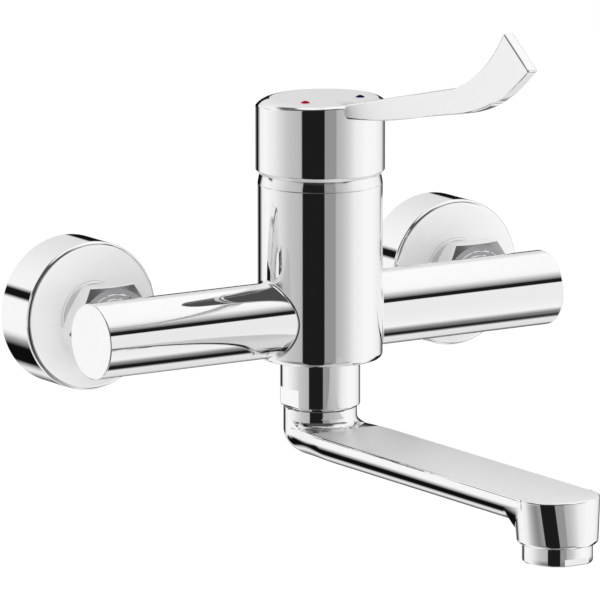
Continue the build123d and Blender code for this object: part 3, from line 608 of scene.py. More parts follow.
def tube_grid(side):
    """Half of the cross tube, from inside the barrel to its flat end: a cylinder along X."""
    grid = cylinder(TUBE_R, TUBE_START, TUBE_HALF, end_round=TUBE_END_ROUND)
    return np.stack((side * grid[..., 2], grid[..., 0], grid[..., 1]), -1)


def junction_grid(side):
    """Hollow blend between barrel and cross tube, as a ball of radius JUNCTION_BLEND leaves it.

    The ball's centre keeps its distance to both axes. An arc about it runs between the two points
    that it touches, and the hidden side closes the blend inside the walls.
    """
    a = turn(JUNCTION_STEPS)

    def crossing(tube_r, barrel_r):
        """Line on which cylinders about the two axes meet: x squared is barrel_r squared less y squared."""
        y = tube_r * np.cos(a)
        return np.stack((np.sqrt(barrel_r ** 2 - y ** 2), y, tube_r * np.sin(a)), 1)

    centre = crossing(TUBE_R + JUNCTION_BLEND, BARREL_R + JUNCTION_BLEND)
    to_tube = np.stack((0 * a, -np.cos(a), -np.sin(a)), 1)
    to_barrel = -centre * (1, 1, 0) / (BARREL_R + JUNCTION_BLEND)
    wide = np.arccos((to_tube * to_barrel).sum(1))[:, None]
    t = np.linspace(0, 1, BLEND_ROWS)[:, None, None]
    across = (np.sin((1 - t) * wide) * to_tube + np.sin(t * wide) * to_barrel) / np.sin(wide)
    arc = centre + JUNCTION_BLEND * across
    hidden = crossing(TUBE_R - JUNCTION_DEPTH, BARREL_R - JUNCTION_DEPTH)
    return np.concatenate((arc, hidden[None], arc[:1])) * (side, 1, 1)


barrel_corners = [
    (0, SHANK_SOCKET_TOP), (SHANK_SOCKET_R, SHANK_SOCKET_TOP), (SHANK_SOCKET_R, OUTLET_BOTTOM),
    (OUTLET_R, OUTLET_BOTTOM), (OUTLET_R, OUTLET_ROOT), (OUTLET_R, BARREL_BOTTOM), (BARREL_R, BARREL_BOTTOM),
    (BARREL_R, BARREL_TOP), (SPIGOT_BORE_R, BARREL_TOP), (SPIGOT_BORE_R, SPIGOT_FLOOR),
    (CLAMP_NUT_BORE_R, SPIGOT_FLOOR), (CLAMP_NUT_BORE_R, CLAMP_NUT_FLOOR),
    (CARTRIDGE_BORE_R, CLAMP_NUT_FLOOR), (CARTRIDGE_BORE_R, CARTRIDGE_FLOOR), (0, CARTRIDGE_FLOOR),
]
barrel_profile = path(barrel_corners, {6: BARREL_BOTTOM_ROUND, 7: BARREL_TOP_ROUND})
barrel = new_object("mixer_body_casting", [turned(barrel_profile)])
for side in (-1, 1):
    combine(barrel, new_object("tube", [tube_grid(side)]), "UNION")
piece(barrel, "tap", "chrome", CHROME, "mixer_body")

blends = new_object("junction_blends", [junction_grid(-1), junction_grid(1)])
piece(blends, "tap", "chrome", CHROME)

# dome that closes the barrel: a sphere about the lifting axis, with its spigot in the barrel

low = asin((BARREL_TOP - PIVOT) / DOME_R)
high = asin((BARREL_TOP + DOME_HEIGHT - PIVOT) / DOME_R)
dome_rows = sphere_rows(DOME_R, low, high, SPHERE_ROWS)
dome_rows += sphere_rows(DOME_R - DOME_WALL, high, low + DOME_INSIDE_ANGLE, INNER_SPHERE_ROWS)
dome_rows += [(SPIGOT_R, SPIGOT_BOTTOM), (SPIGOT_INNER_R, SPIGOT_BOTTOM), (SPIGOT_R, BARREL_TOP + DOME_SEAT),
              (DOME_R * cos(low), BARREL_TOP + DOME_SEAT)]
dome = new_object("dome_cover_shell", [turned(dome_rows)])
piece(dome, "tap", "chrome", CHROME, "dome_cover")


# cap and elbow lever


def cap_grid():
    """Cap: flat top, crowned band, crisp edge, side, and below the spherical hollow with its boss.

    The edge lies in a plane that rises towards the lever. From it an arc, whose normal starts at
    BAND_START, runs in until it is level, so the band is broad behind and narrow at the lever.
    """
    edge_z = CAP_EDGE - CAP_EDGE_RISE * np.sin(FULL_TURN)
    band = (CAP_TOP - edge_z) / (1 - sin(BAND_START))
    band_r = CAP_R - CAP_EDGE_ROUND * (1 - cos(BAND_START))
    top_r = band_r - band * cos(BAND_START)
    rows = [(0, CAP_TOP), (top_r * CAP_TOP_SHARE, CAP_TOP), (top_r - EDGE_HOLD, CAP_TOP)]
    q = np.linspace(pi / 2, BAND_START, BAND_ROWS)[:, None]
    rows += zip(band_r - band * (cos(BAND_START) - np.cos(q)), edge_z + band * (np.sin(q) - sin(BAND_START)))
    q = np.linspace(BAND_START, 0, EDGE_STEPS + 1)[1:, None]
    rows += zip(CAP_R - CAP_EDGE_ROUND * (1 - np.cos(q)),
                edge_z - CAP_EDGE_ROUND * (sin(BAND_START) - np.sin(q)))
    rows.append((CAP_R, edge_z - CAP_EDGE_ROUND * sin(BAND_START) - CAP_EDGE_HOLD))
    rim_outer = CAP_R - CAP_CHAMFER * (CAP_SKIRT - CAP_RIM) / CAP_CHAMFER_HEIGHT
    rim_inner = sqrt(CAP_HOLLOW_R ** 2 - (CAP_RIM - PIVOT) ** 2)
    skirt = [(CAP_R, CAP_SIDE_MIDDLE), (CAP_R, CAP_SKIRT), (rim_outer, CAP_RIM)]
    rows += list(path(skirt, {1: CAP_SKIRT_ROUND}))
    rows.append((rim_inner, CAP_RIM))
    rows += sphere_rows(CAP_HOLLOW_R, asin((CAP_RIM - PIVOT) / CAP_HOLLOW_R), acos(BOSS_R / CAP_HOLLOW_R),
                        SPHERE_ROWS)
    rows += [(BOSS_R, BOSS_BOTTOM), (STEM_SOCKET_R, BOSS_BOTTOM), (STEM_SOCKET_R, STEM_SOCKET_TOP),
             (0, STEM_SOCKET_TOP)]
    return turned(rows)


def lever_points(shares):
    """Points of the lever's side view as (distance in front, height)."""
    forward, up = np.array(shares).T
    return np.stack((LEVER_START + forward * (LEVER_REACH - LEVER_START), CAP_TOP + up * LEVER_RISE), 1)


def arc_through(a, b, c, count):
    """Points along the circle through a, b and c, whose centre is as far from each of the three."""
    matrix = 2 * np.array((b - a, c - b))
    centre = np.linalg.solve(matrix, (b @ b - a @ a, c @ c - b @ b))
    start, stop = (atan2(*(p - centre)[::-1]) for p in (a, c))
    angles = np.linspace(start, stop, count)
    return centre + np.linalg.norm(a - centre) * np.stack((np.cos(angles), np.sin(angles)), 1)


def natural_spline(points, count):
    """Cubic through the points with free ends, by chord length.

    Its second derivatives solve the usual equations of equal slopes at the inner points.
    """
    chord = np.append(0, np.cumsum(np.linalg.norm(np.diff(points, axis=0), axis=1)))
    h = np.diff(chord)
    inner = np.arange(1, len(points) - 1)
    matrix = np.eye(len(points))
    matrix[inner, inner - 1] = h[:-1]
    matrix[inner, inner] = 2 * (h[:-1] + h[1:])
    matrix[inner, inner + 1] = h[1:]
    right = np.zeros_like(points)
    right[1:-1] = 6 * np.diff(np.diff(points, axis=0) / h[:, None], axis=0)
    second = np.linalg.solve(matrix, right)
    t = np.linspace(0, chord[-1], count)
    k = np.clip(np.searchsorted(chord, t) - 1, 0, len(h) - 1)
    a = ((chord[k + 1] - t) / h[k])[:, None]
    b = 1 - a
    bend = ((a ** 3 - a) * second[k] + (b ** 3 - b) * second[k + 1]) * (h[k] ** 2 / 6)[:, None]
    return a * points[k] + b * points[k + 1] + bend


def blade_half(y):
    """Half width of the blade at distance y in front: it tapers evenly from root to tip."""
    share = np.clip((y - LEVER_START) / (LEVER_REACH - LEVER_START), LEVER_WIDEST_SHARE, 1)
    return LEVER_ROOT_HALF + (LEVER_TIP_HALF - LEVER_ROOT_HALF) * share


def blade_sections(half, height):
    """Loops across the blade as (across, up), for arrays of half widths and heights.

    Each is a rectangle with round corners, walked once round. Four points along every side, two of
    them close to the arcs, keep the flats flat.
    """
    start = np.array((0, 0.5, 1, 1.5))[:, None] * pi
    angles = start + quarter(EDGE_STEPS)
    across = (half - LEVER_EDGE)[:, None] * (1, -1, -1, 1)
    up = np.where((True, True, False, False), (height - LEVER_EDGE)[:, None], LEVER_EDGE)
    arcs = np.stack((across[..., None] + LEVER_EDGE * np.cos(angles),
                     up[..., None] + LEVER_EDGE * np.sin(angles)), -1)
    leave = arcs[:, :, -1:]
    leg = np.roll(arcs, -1, 1)[:, :, :1] - leave
    hold = EDGE_HOLD / np.linalg.norm(leg, axis=-1, keepdims=True)
    share = np.concatenate((hold, *(np.full_like(hold, s) for s in BLADE_FLAT_SHARES), 1 - hold), 2)
    loops = np.concatenate((arcs, leave + leg * share), 2).reshape(len(half), -1, 2)
    return np.concatenate((loops, loops[:, :1]), 1)


def inward_of(loop):
    """Unit vectors into a closed planar loop, square to the line between each point's neighbours."""
    points = loop[:-1]
    tangent = np.roll(points, -1, 0) - np.roll(points, 1, 0)
    tangent /= np.linalg.norm(tangent, axis=1)[:, None]
    normal = np.cross(points[len(points) // 4] - points[0], points[len(points) // 2] - points[0])
    inward = np.cross(normal / np.linalg.norm(normal), tangent)
    inward *= np.sign(((loop.mean(0) - points) * inward).sum(1))[:, None]
    return np.concatenate((inward, inward[:1]))


def blade_grids():
    """Blade: sections between its top line (a straight and an arc) and its under line (a spline).

    Its end is a quarter round of LEVER_EDGE, which starts that far short of the tip, and a flat.
    """
    top = lever_points(TOP_SHARES)
    straight = np.linspace(top[0], top[1], STRAIGHT_POINTS, endpoint=False)
    bend = arc_through(*top[1:], BEND_POINTS)
    under = natural_spline(lever_points(UNDER_SHARES), STRAIGHT_POINTS + BEND_POINTS)
    lead, top_drop, under_drop = np.array(LEVER_LEAD).T
    top_line = np.concatenate((np.stack((lead, CAP_TOP - top_drop), 1), straight, bend))
    under_line = np.concatenate((np.stack((lead, under[0, 1] - under_drop), 1), under))
    height = np.linalg.norm(top_line - under_line, axis=1)
    along = (top_line - under_line) / height[:, None]
    loops = blade_sections(blade_half((top_line[:, 0] + under_line[:, 0]) / 2), height)
    side_view = under_line[:, None] + along[:, None] * loops[..., 1:]
    grid = np.stack((loops[..., 0], -side_view[..., 0], side_view[..., 1]), -1)

    direction = grid[-1].mean(0) - grid[-2].mean(0)
    direction /= np.linalg.norm(direction)
    tip = grid[-1] - direction * LEVER_EDGE
    q = quarter(EDGE_STEPS)[:, None, None]
    end = tip + LEVER_EDGE * ((1 - np.cos(q)) * inward_of(tip) + np.sin(q) * direction)
    middle = end[-1].mean(0)
    inner = middle + (end[-1] - middle) * BLADE_TIP_SHARE
    flat = np.array([end[-1], inner, np.broadcast_to(middle, tip.shape)])
    return [closing(grid[0], grid[0].mean(0)), np.concatenate((grid[:-2], tip[None])), end, flat]


def linished_on_cap(normal, centre):
    """Faces of the cap that were only linished: its flat top, the blade's sides and the lower chamfer."""
    blade_side = (np.abs(normal[:, 0]) > SQUARE) & (centre[:, 1] < -BLADE_SIDES_START)
    leaning = np.abs(normal[:, 2] - CHAMFER_LEAN) < CHAMFER_LEAN_SLACK
    outside = (centre[:, 2] < CHAMFER_HIGHEST) & (np.hypot(centre[:, 0], centre[:, 1]) > CHAMFER_INNER_R)
    return (normal[:, 2] > SQUARE) | blade_side | (leaning & outside)


cap = new_object("lever_cap", [cap_grid()])
screw_hole = cylinder(SCREW_HOLE_R, SCREW_HOLE_START, SCREW_HOLE_END, turn(SCREW_STEPS))
combine(cap, new_object("hole", [lay_back(screw_hole, 0, SCREW_HEIGHT)]), "DIFFERENCE")
for side in (-1, 1):
    pocket = cylinder(POCKET_R, DOT_BOTTOM, POCKET_TOP, turn(SMALL_STEPS))
    combine(cap, new_object("pocket", [moved(pocket, side * DOT_SPREAD, -DOT_FRONT)]), "DIFFERENCE")
combine(cap, new_object("blade", blade_grids()), "UNION")
piece(cap, "handle", "chrome", CHROME, "lever_handle")
face_material(cap, SOFT_CHROME, linished_on_cap)

# enamel dots, each domed like a parabola

dots = (("hot", -1, "red_inlay", RED_ENAMEL), ("cold", 1, "blue_inlay", BLUE_ENAMEL))
for name, side, slot, material in dots:
    share = np.linspace(0, 1, DOT_ROWS)
    dot_rows = list(zip(DOT_R * share, CAP_TOP + DOT_DOME * (1 - share ** 2)))
    dot_rows += [(DOT_R, DOT_SIDE_TOP), (DOT_R, DOT_BOTTOM), (0, DOT_BOTTOM)]
    dot_grid = moved(turned(dot_rows, turn(SMALL_STEPS)), side * DOT_SPREAD, -DOT_FRONT)
    dot = new_object(f"{name}_inlay", [dot_grid])
    piece(dot, "handle", slot, material, f"{name}_indicator")


# unions, nuts and roses behind the tube


def union_nut_grid():
    """Hexagon nut: the front and back faces are cones that cut the hexagon in chamfer curves."""
    angles = turn(HEXAGON_STEPS)
    hexagon_r = NUT_FLATS / 2 / np.cos(angles % (pi / 3) - pi / 6)
    drop = (hexagon_r - NUT_CHAMFER_R) * NUT_CHAMFER_SLOPE
    front_edge = NUT_FRONT + drop
    back_edge = NUT_BACK - drop
    rows = [(NUT_BORE_R, NUT_FLOOR), (NUT_BORE_R, NUT_FRONT + NUT_MOUTH_DEPTH), (NUT_MOUTH_R, NUT_FRONT),
            (NUT_MOUTH_R + STEP_HOLD, NUT_FRONT)]
    for groove_r in GROOVES_R:
        rows += [(groove_r - GROOVE_HALF, NUT_FRONT), (groove_r, NUT_FRONT + GROOVE_DEPTH),
                 (groove_r + GROOVE_HALF, NUT_FRONT)]
    rows += [
        (NUT_CHAMFER_R - STEP_HOLD, NUT_FRONT), (NUT_CHAMFER_R, NUT_FRONT),
        (NUT_CHAMFER_R + EDGE_HOLD, NUT_FRONT + EDGE_HOLD * NUT_CHAMFER_SLOPE),
        (hexagon_r - NUT_EDGE, front_edge - NUT_EDGE * NUT_CHAMFER_SLOPE),
        (hexagon_r, front_edge + NUT_EDGE), (hexagon_r, front_edge + NUT_EDGE + EDGE_HOLD),
        (hexagon_r, back_edge - NUT_EDGE - EDGE_HOLD), (hexagon_r, back_edge - NUT_EDGE),
        (hexagon_r - NUT_EDGE, back_edge + NUT_EDGE * NUT_CHAMFER_SLOPE), (NUT_CHAMFER_R, NUT_BACK),
        (NUT_THREAD_R, NUT_BACK), (NUT_THREAD_R, NUT_FLOOR), (NUT_BORE_R, NUT_FLOOR),
    ]
    return turned(rows, angles)


def thread_rows(radius, start, end, depth, angles):
    """Helical thread: once a pitch the radius falls by depth in a rounded V that advances by turn.

    It fades in over the first pitch and out over the last.
    """
    z = np.arange(start, end + TINY, THREAD_PITCH / THREAD_ROWS_A_PITCH)[:, None]
    phase = (z / THREAD_PITCH - angles / (2 * pi)) % 1.0
    fade = np.minimum(1.0, np.minimum(z - start, end - z) / THREAD_PITCH)
    wave = np.abs(2 * phase - 1)
    wave = wave * wave * (3 - 2 * wave)
    return list(zip(radius - depth * fade * (1 - wave), z))


def offset_union_grids(x):
    """Union in two turned shells: tap side about the tube's axis, wall side about the inlet's axis."""
    angles = turn(THREAD_STEPS)
    tap_side = [(OFFSET_BORE_R, OFFSET_FRONT), (OFFSET_FACE_R, OFFSET_FRONT)]
    tap_side += thread_rows(UNION_THREAD_R, UNION_THREAD_START, UNION_THREAD_END, UNION_THREAD_DEPTH, angles)
    tap_side += [
        (OFFSET_NECK_R, OFFSET_NECK_START), (OFFSET_NECK_R, OFFSET_NECK_START + STEP_HOLD),
        (OFFSET_NECK_R, OFFSET_NECK_END - OFFSET_NECK_HOLD), (OFFSET_NECK_R, OFFSET_NECK_END),
        (OFFSET_BORE_R, OFFSET_NECK_END), (OFFSET_BORE_R, OFFSET_FRONT),
    ]
    wall_side = [
        (OFFSET_BORE_R, COUPLING_FRONT), (COUPLING_R - COUPLING_CHAMFER, COUPLING_FRONT),
        (COUPLING_R, COUPLING_FRONT + COUPLING_CHAMFER),
        (COUPLING_R, COUPLING_FRONT + COUPLING_CHAMFER + STEP_HOLD),
        (COUPLING_R, COUPLING_BACK - COUPLING_BACK_CHAMFER), (COUPLING_R - COUPLING_CHAMFER, COUPLING_BACK),
        (WALL_RELIEF_R, COUPLING_BACK), (WALL_RELIEF_R, COUPLING_BACK + STEP_HOLD),
        (WALL_RELIEF_R, WALL - STEP_HOLD), (WALL_RELIEF_R, WALL),
    ]
    wall_side += thread_rows(WALL_THREAD_R, WALL_THREAD_START, WALL_THREAD_END, WALL_THREAD_DEPTH, angles)
    wall_side += [
        (WALL_RELIEF_R + STEP_HOLD, WALL_END), (OFFSET_BORE_R + STEP_HOLD, WALL_END),
        (OFFSET_BORE_R, WALL_END - STEP_HOLD), (OFFSET_BORE_R, COUPLING_FRONT),
    ]
    return [lay_back(turned(tap_side, angles), x, 0), lay_back(turned(wall_side, angles), x, CRANK)]


def rose_profile():
    """Half section of the deep wall rose with its sleeve."""
    inside = ROSE_FRONT + ROSE_WALL
    corners = [
        (ROSE_SLEEVE_R, ROSE_SLEEVE_END), (ROSE_SLEEVE_R, ROSE_FRONT), (ROSE_R, ROSE_FRONT), (ROSE_R, WALL),
        (ROSE_R - ROSE_WALL, WALL), (ROSE_R - ROSE_WALL, inside), (ROSE_SLEEVE_R + ROSE_WALL, inside),
        (ROSE_SLEEVE_R + ROSE_WALL, ROSE_SLEEVE_END), (ROSE_SLEEVE_R, ROSE_SLEEVE_END),
    ]
    return path(corners, {2: ROSE_EDGE_ROUND, 3: ROSE_BACK_ROUND, 4: ROSE_BACK_ROUND})


def painted_shade_on_nut(normal, centre):
    """Faces of a nut that get the painted shade: its front, with grooves and chamfer."""
    return (normal[:, 1] < NUT_SHADED_FRONT_LEAN) & (centre[:, 1] < NUT_FLOOR)


def painted_reflection_on_rose(normal, centre):
    """Faces of a rose that get the painted reflection: its flat front."""
    return normal[:, 1] < -SQUARE


for name, x in (("left", -INLET_X), ("right", INLET_X)):
    nut = new_object(f"{name}_nut", [lay_back(union_nut_grid(), x, 0)])
    piece(nut, "tap", "chrome", CHROME, f"{name}_union_nut")
    # the nut's front is darkened to grey: painted shade
    face_material(nut, NUT_FRONT_PAINTED_SHADE, painted_shade_on_nut)
    union = new_object(f"{name}_crank", offset_union_grids(x))
    piece(union, "tap", "chrome", SOFT_CHROME, f"{name}_offset_union")
    rose = new_object(f"{name}_rose", [lay_back(turned(rose_profile()), x, CRANK)])
    piece(rose, "tap", "chrome", CHROME, f"{name}_escutcheon")
    # the rose's flat front gets a near-white colour: painted reflection
    face_material(rose, ROSE_FRONT_PAINTED_REFLECTION, painted_reflection_on_rose)


# collar nut of the spout


def flat_cut(angles, radius, across, facing):
    """Radius, by angle, of a cylinder with two flats that face the angle facing.

    A flat lies half the distance across away, so its radius is that over the cosine of the angle to it.
    """
    c = np.abs(np.cos(angles - facing))
    return np.minimum(radius, across / 2 / np.maximum(c, TINY))


def flat_angles(radius, across, facing):
    """Evenly spaced angles with the edges of the flats added."""
    edge = acos(across / 2 / radius)
    extra = [(facing + half_turn + side * edge) % (2 * pi) for half_turn in (0, pi) for side in (-1, 1)]
    return np.unique(np.concatenate((FULL_TURN, extra)))


collar_angles = flat_angles(COLLAR_R, COLLAR_FLATS, 0)
collar_cut = flat_cut(collar_angles, COLLAR_R, COLLAR_FLATS, 0)
collar_rows = [(COLLAR_THREAD_R, COLLAR_THREAD_END), (COLLAR_THREAD_R, COLLAR_TOP)]
collar_rows += edge_rows(COLLAR_R, COLLAR_TOP, COLLAR_TOP_EDGE, -1)
collar_rows += step_rows(COLLAR_R, collar_cut, COLLAR_STEP)
collar_rows += edge_rows(collar_cut, COLLAR_BOTTOM, COLLAR_BOTTOM_EDGE, 1)
collar_rows += [(COLLAR_LIP_R, COLLAR_BOTTOM), (COLLAR_LIP_R, COLLAR_LIP_TOP),
                (COLLAR_THREAD_R, COLLAR_LIP_TOP), (COLLAR_THREAD_R, COLLAR_THREAD_END)]
spout_nut = new_object("spout_collar_nut", [turned(collar_rows, collar_angles)])
piece(spout_nut, "tap", "chrome", CHROME, "spout_nut")


# spout


def arm_half(y):
    """Half width of the arm at distance y in front: over ARM_FLARE it widens by three t t less two t t t."""
    t = np.clip(y / ARM_FLARE, 0, 1)
    return NECK_R + (ARM_HALF - NECK_R) * t * t * (3 - 2 * t)


def arm_sections(half):
    """Loops across the arm as (x, z), for an array of half widths, from the middle of the top.

    The top is a parabola that rises by ARM_CROWN, the edge a quarter circle, and below a short
    upright side hangs half an ellipse.
    """
    half = half[:, None]
    share = np.concatenate((0 * half + ARM_TOP_SHARES, 1 - (ARM_EDGE + EDGE_HOLD) / half), 1)
    edge = quarter(EDGE_STEPS)
    below = quarter(UNDER_STEPS)
    x = np.concatenate((half * share, half - ARM_EDGE * (1 - np.sin(edge)), half, half,
                        half * np.cos(below)), 1)
    side = SPOUT_TOP - ARM_SIDE
    drops = np.concatenate((SPOUT_TOP - ARM_EDGE * (1 - np.cos(edge)),
                            (SPOUT_TOP - ARM_EDGE - EDGE_HOLD, side + EDGE_HOLD),
                            side - (ARM_DEPTH - ARM_SIDE) * np.sin(below)))
    z = np.concatenate((SPOUT_TOP + ARM_CROWN * (1 - share ** 2), 0 * half + drops), 1)
    return np.concatenate((x, -x[:, -2::-1]), 1), np.concatenate((z, z[:, -2::-1]), 1)


def arm_grids():
    """Arm from the swivel axis to the head's axis: the section loop carried along, ends closed."""
    y = np.concatenate((np.linspace(0, ARM_FLARE, FLARE_ROWS),
                        np.linspace(ARM_ROWS_START, SPOUT_REACH, ARM_ROWS)))
    x, z = arm_sections(arm_half(y))
    grid = np.stack((x, 0 * x - y[:, None], z), -1)
    middle = np.array((0, 0, SPOUT_TOP - ARM_DEPTH / 2))
    return [closing(grid[0], middle), grid, closing(grid[-1], middle - (0, SPOUT_REACH, 0))[::-1]]


def neck_grid():
    """Shank, neck, flare on the arm and bowl behind, around the swivel axis.

    The flare is a quarter hollow of NECK_FILLET that stops at the arm's side, at the angle where the
    arm's plan is narrower than the flare. The bowl is a quarter of the arm's own half ellipse.
    """
    angles = turn(FINE_STEPS)
    front = -np.sin(angles)
    across = np.abs(np.cos(angles))
    # how far the flare reaches at each angle: outwards as long as the arm lies below it
    outwards = np.linspace(NECK_R, NECK_R + NECK_FILLET, FLARE_TRIALS)[:, None]
    over_arm = (front > 0) & (outwards * across <= arm_half(outwards * front))
    reach = np.where(np.logical_and.accumulate(over_arm), outwards, NECK_R).max(0)

    rows = [(SHANK_INNER_R, SHANK_INNER_BOTTOM), (SHANK_INNER_R, SHANK_TOP),
            (SHANK_R - SHANK_CHAMFER, SHANK_TOP), (SHANK_R, SHANK_TOP - SHANK_CHAMFER),
            (SHANK_R, SHANK_SHOULDER)]
    for height in RING_HEIGHTS:
        upper = height + RING_GROOVE_HALF
        lower = height - RING_GROOVE_HALF
        rows += [(SHANK_R, upper), (RING_GROOVE_R, upper), (RING_GROOVE_R, lower), (SHANK_R, lower)]
    rows += [(SHANK_R, RETAINER_TOP), (RETAINER_GROOVE_R, RETAINER_TOP), (RETAINER_GROOVE_R, RETAINER_BOTTOM),
             (SHANK_FLANGE_R, RETAINER_BOTTOM), (SHANK_FLANGE_R, NECK_TOP)]
    rows += edge_rows(NECK_R, NECK_TOP, NECK_TOP_EDGE, -1)
    fillet_top = SPOUT_TOP + NECK_FILLET
    rows.append((NECK_R, fillet_top + EDGE_HOLD))
    out = np.linspace(0, 1, NECK_FILLET_ROWS)[:, None] * (reach - NECK_R)
    hollow = np.sqrt(np.maximum(NECK_FILLET ** 2 - (NECK_FILLET - out) ** 2, 0))
    rows += zip(NECK_R + out, fillet_top - hollow)
    rows += [(reach, SPOUT_TOP - NECK_FOOT_SINK), (NECK_R - STEP_GAP, SPOUT_TOP - NECK_FOOT_DEPTH)]
    q = quarter(UNDER_STEPS)
    rows += zip(NECK_R * np.cos(q), SPOUT_TOP - ARM_SIDE - (ARM_DEPTH - ARM_SIDE) * np.sin(q))
    return turned(rows, angles)


def head_terms():
    """Radius of the corner arcs of the head's plan, and the direction at which the front arc meets them.

    A corner arc leaves the arm's side without a kink and touches the front arc from inside, so the
    distance between their centres is the difference of their radii.
    """
    back_by = HEAD_FRONT_R - HEAD_NOSE
    corner = (HEAD_FRONT_R ** 2 - ARM_HALF ** 2 - back_by ** 2) / (2 * (HEAD_FRONT_R - ARM_HALF))
    lean = asin((ARM_HALF - corner) / (HEAD_FRONT_R - corner))
    return corner, lean


def head_plan(angles):
    """Plan of the head's top by the direction of its outward normal, measured from the front (-Y).

    Behind it is a half circle, at the sides a corner arc and in front a flatter arc.
    """
    corner, lean = head_terms()
    a = (angles + pi) % (2 * pi) - pi
    normal = np.stack((np.sin(a), -np.cos(a)), 1)
    size = np.abs(a)
    radius = np.where(size < lean, HEAD_FRONT_R, np.where(size < pi / 2, corner, ARM_HALF))
    x = np.where(size < lean, 0, np.where(size < pi / 2, (ARM_HALF - corner) * np.sign(a), 0))
    y = np.where(size < lean, (HEAD_FRONT_R - corner) * cos(lean), 0)
    return np.stack((x, y), 1) + normal * radius[:, None], normal


def head_grid():
    """Head: crowned top, a wall ruled between its plan and a circle at the end, and its opening.

    The edge above and the foot below are quarter rounds, by which the wall steps inwards.
    """
    corner, lean = head_terms()
    angles = np.unique(np.concatenate((np.linspace(-pi, pi, FINE_STEPS + 1), (-lean, lean, -pi / 2, pi / 2))))
    plan, normal = head_plan(angles)
    height = SPOUT_TOP - HEAD_BOTTOM

    def level(xy, z):
        """Rows at heights z, moved out to the head's axis."""
        z = np.broadcast_to(z, xy.shape[:-1])
        return np.stack((xy[..., 0], xy[..., 1] - SPOUT_REACH, z), -1)

    share = HEAD_TOP_SHARES[:, None]
    crown = level((plan - normal * HEAD_EDGE) * share[..., None],
                  SPOUT_TOP + ARM_CROWN * (1 - share * share) - HEAD_SINK)

    above = quarter(HEAD_EDGE_STEPS)
    below = quarter(HEAD_FOOT_STEPS)
    straight = np.concatenate(((HEAD_EDGE + EDGE_HOLD,), HEAD_WALL_SHARES * height,
                               (height - HEAD_BOTTOM_ROUND - EDGE_HOLD,)))
    depths = np.concatenate((HEAD_EDGE * (1 - np.cos(above)), straight,
                             height - HEAD_BOTTOM_ROUND * (1 - np.sin(below))))[:, None]
    insets = np.concatenate((HEAD_EDGE * (1 - np.sin(above)), 0 * straight,
                             HEAD_BOTTOM_ROUND * (1 - np.cos(below))))[:, None, None]
    ruled = (depths / height)[..., None]
    wall = level(plan * (1 - ruled) + normal * (HEAD_R * ruled - insets), SPOUT_TOP - depths - HEAD_SINK)

    opening = np.array([
        (HEAD_R - HEAD_BOTTOM_ROUND - EDGE_HOLD, HEAD_BOTTOM - HEAD_SINK),
        (HEAD_FACE_R, HEAD_BOTTOM - HEAD_SINK),
        (HEAD_THREAD_R, HEAD_BOTTOM + HEAD_THREAD_CHAMFER), (HEAD_THREAD_R, HEAD_THREAD_TOP),
        (HEAD_CHAMBER_R, HEAD_THREAD_TOP), (HEAD_CHAMBER_R, HEAD_CHAMBER_TOP), (0, HEAD_CHAMBER_TOP),
    ])
    return np.concatenate((crown, wall, level(normal * opening[:, :1, None], opening[:, 1:])))


def under_fillet_grids():
    """Hollow blend between the arm's underside and the back of the head.

    For each direction behind the head's axis the corner between the two surfaces is found, and a
    curve tangent to both runs from the underside to the head's wall.
    """
    psi = np.linspace(-UNDER_ANGLE, UNDER_ANGLE, UNDER_COLUMNS)
    sideways = np.sin(psi)

    def underside(rho):
        """Height of the arm's underside, half an ellipse, at distance rho from the head's axis."""
        x = np.clip(rho * sideways / ARM_HALF, -1, 1)
        return SPOUT_TOP - ARM_SIDE - (ARM_DEPTH - ARM_SIDE) * np.sqrt(1 - x * x)

    def wall(z):
        """Radius of the head's ruled wall behind its axis at height z."""
        return ARM_HALF + (HEAD_R - ARM_HALF) * (SPOUT_TOP - z) / (SPOUT_TOP - HEAD_BOTTOM)

    # the corner's height, by putting each surface into the other until it stays
    z = np.full_like(psi, SPOUT_TOP - ARM_DEPTH)
    for _ in range(UNDER_ROUNDS):
        z = underside(wall(z))
    corner = wall(z)
    drop = np.minimum(UNDER_DROP, UNDER_DROP * np.cos(psi) ** UNDER_DROP_POWER + UNDER_LEAST)
    arm_side = ARM_HALF / np.maximum(np.abs(sideways), TINY) - UNDER_LEAST
    reach = UNDER_REACH * np.cos(psi) ** UNDER_REACH_POWER
    far = corner + np.minimum(reach, (arm_side - corner) * UNDER_SIDE_SHARE)
    far_z = underside(far)
    slope = (far_z - underside(far - UNDER_SLOPE_STEP)) / UNDER_SLOPE_STEP
    middle_z = far_z + slope * (corner - far)
    t = np.linspace(0, 1, UNDER_POINTS)

    def curve(start, middle, stop):
        """Second-degree curve that leaves start towards middle and comes to stop from it."""
        return (1 - t) ** 2 * start[:, None] + 2 * t * (1 - t) * middle[:, None] + t * t * stop[:, None]

    # after the curve come three points inside arm and head, which close the hidden side
    hidden_r = corner - UNDER_HIDDEN
    foot = z - drop
    rho = np.column_stack((curve(far, wall(middle_z), wall(foot)), hidden_r, hidden_r, far, far))
    up = np.column_stack((curve(far_z, middle_z, foot), foot, z + UNDER_HIDDEN, far_z + UNDER_HIDDEN, far_z))
    grid = np.stack((rho * sideways[:, None], rho * np.cos(psi)[:, None] - SPOUT_REACH, up), -1)
    return [closing(grid[0], grid[0].mean(0)), grid, closing(grid[-1], grid[-1].mean(0))[::-1]]


def linished_on_spout(normal, centre):
    """Faces of the spout that were only linished: the top of arm and head, in front of the neck."""
    return (normal[:, 2] > SQUARE) & (centre[:, 1] < -ARM_LINISH_START)


spout = new_object("spout_body", arm_grids() + [neck_grid(), head_grid()] + under_fillet_grids())
piece(spout, "spout", "chrome", CHROME, "spout")
face_material(spout, SOFT_CHROME, linished_on_spout)

# aerator ring

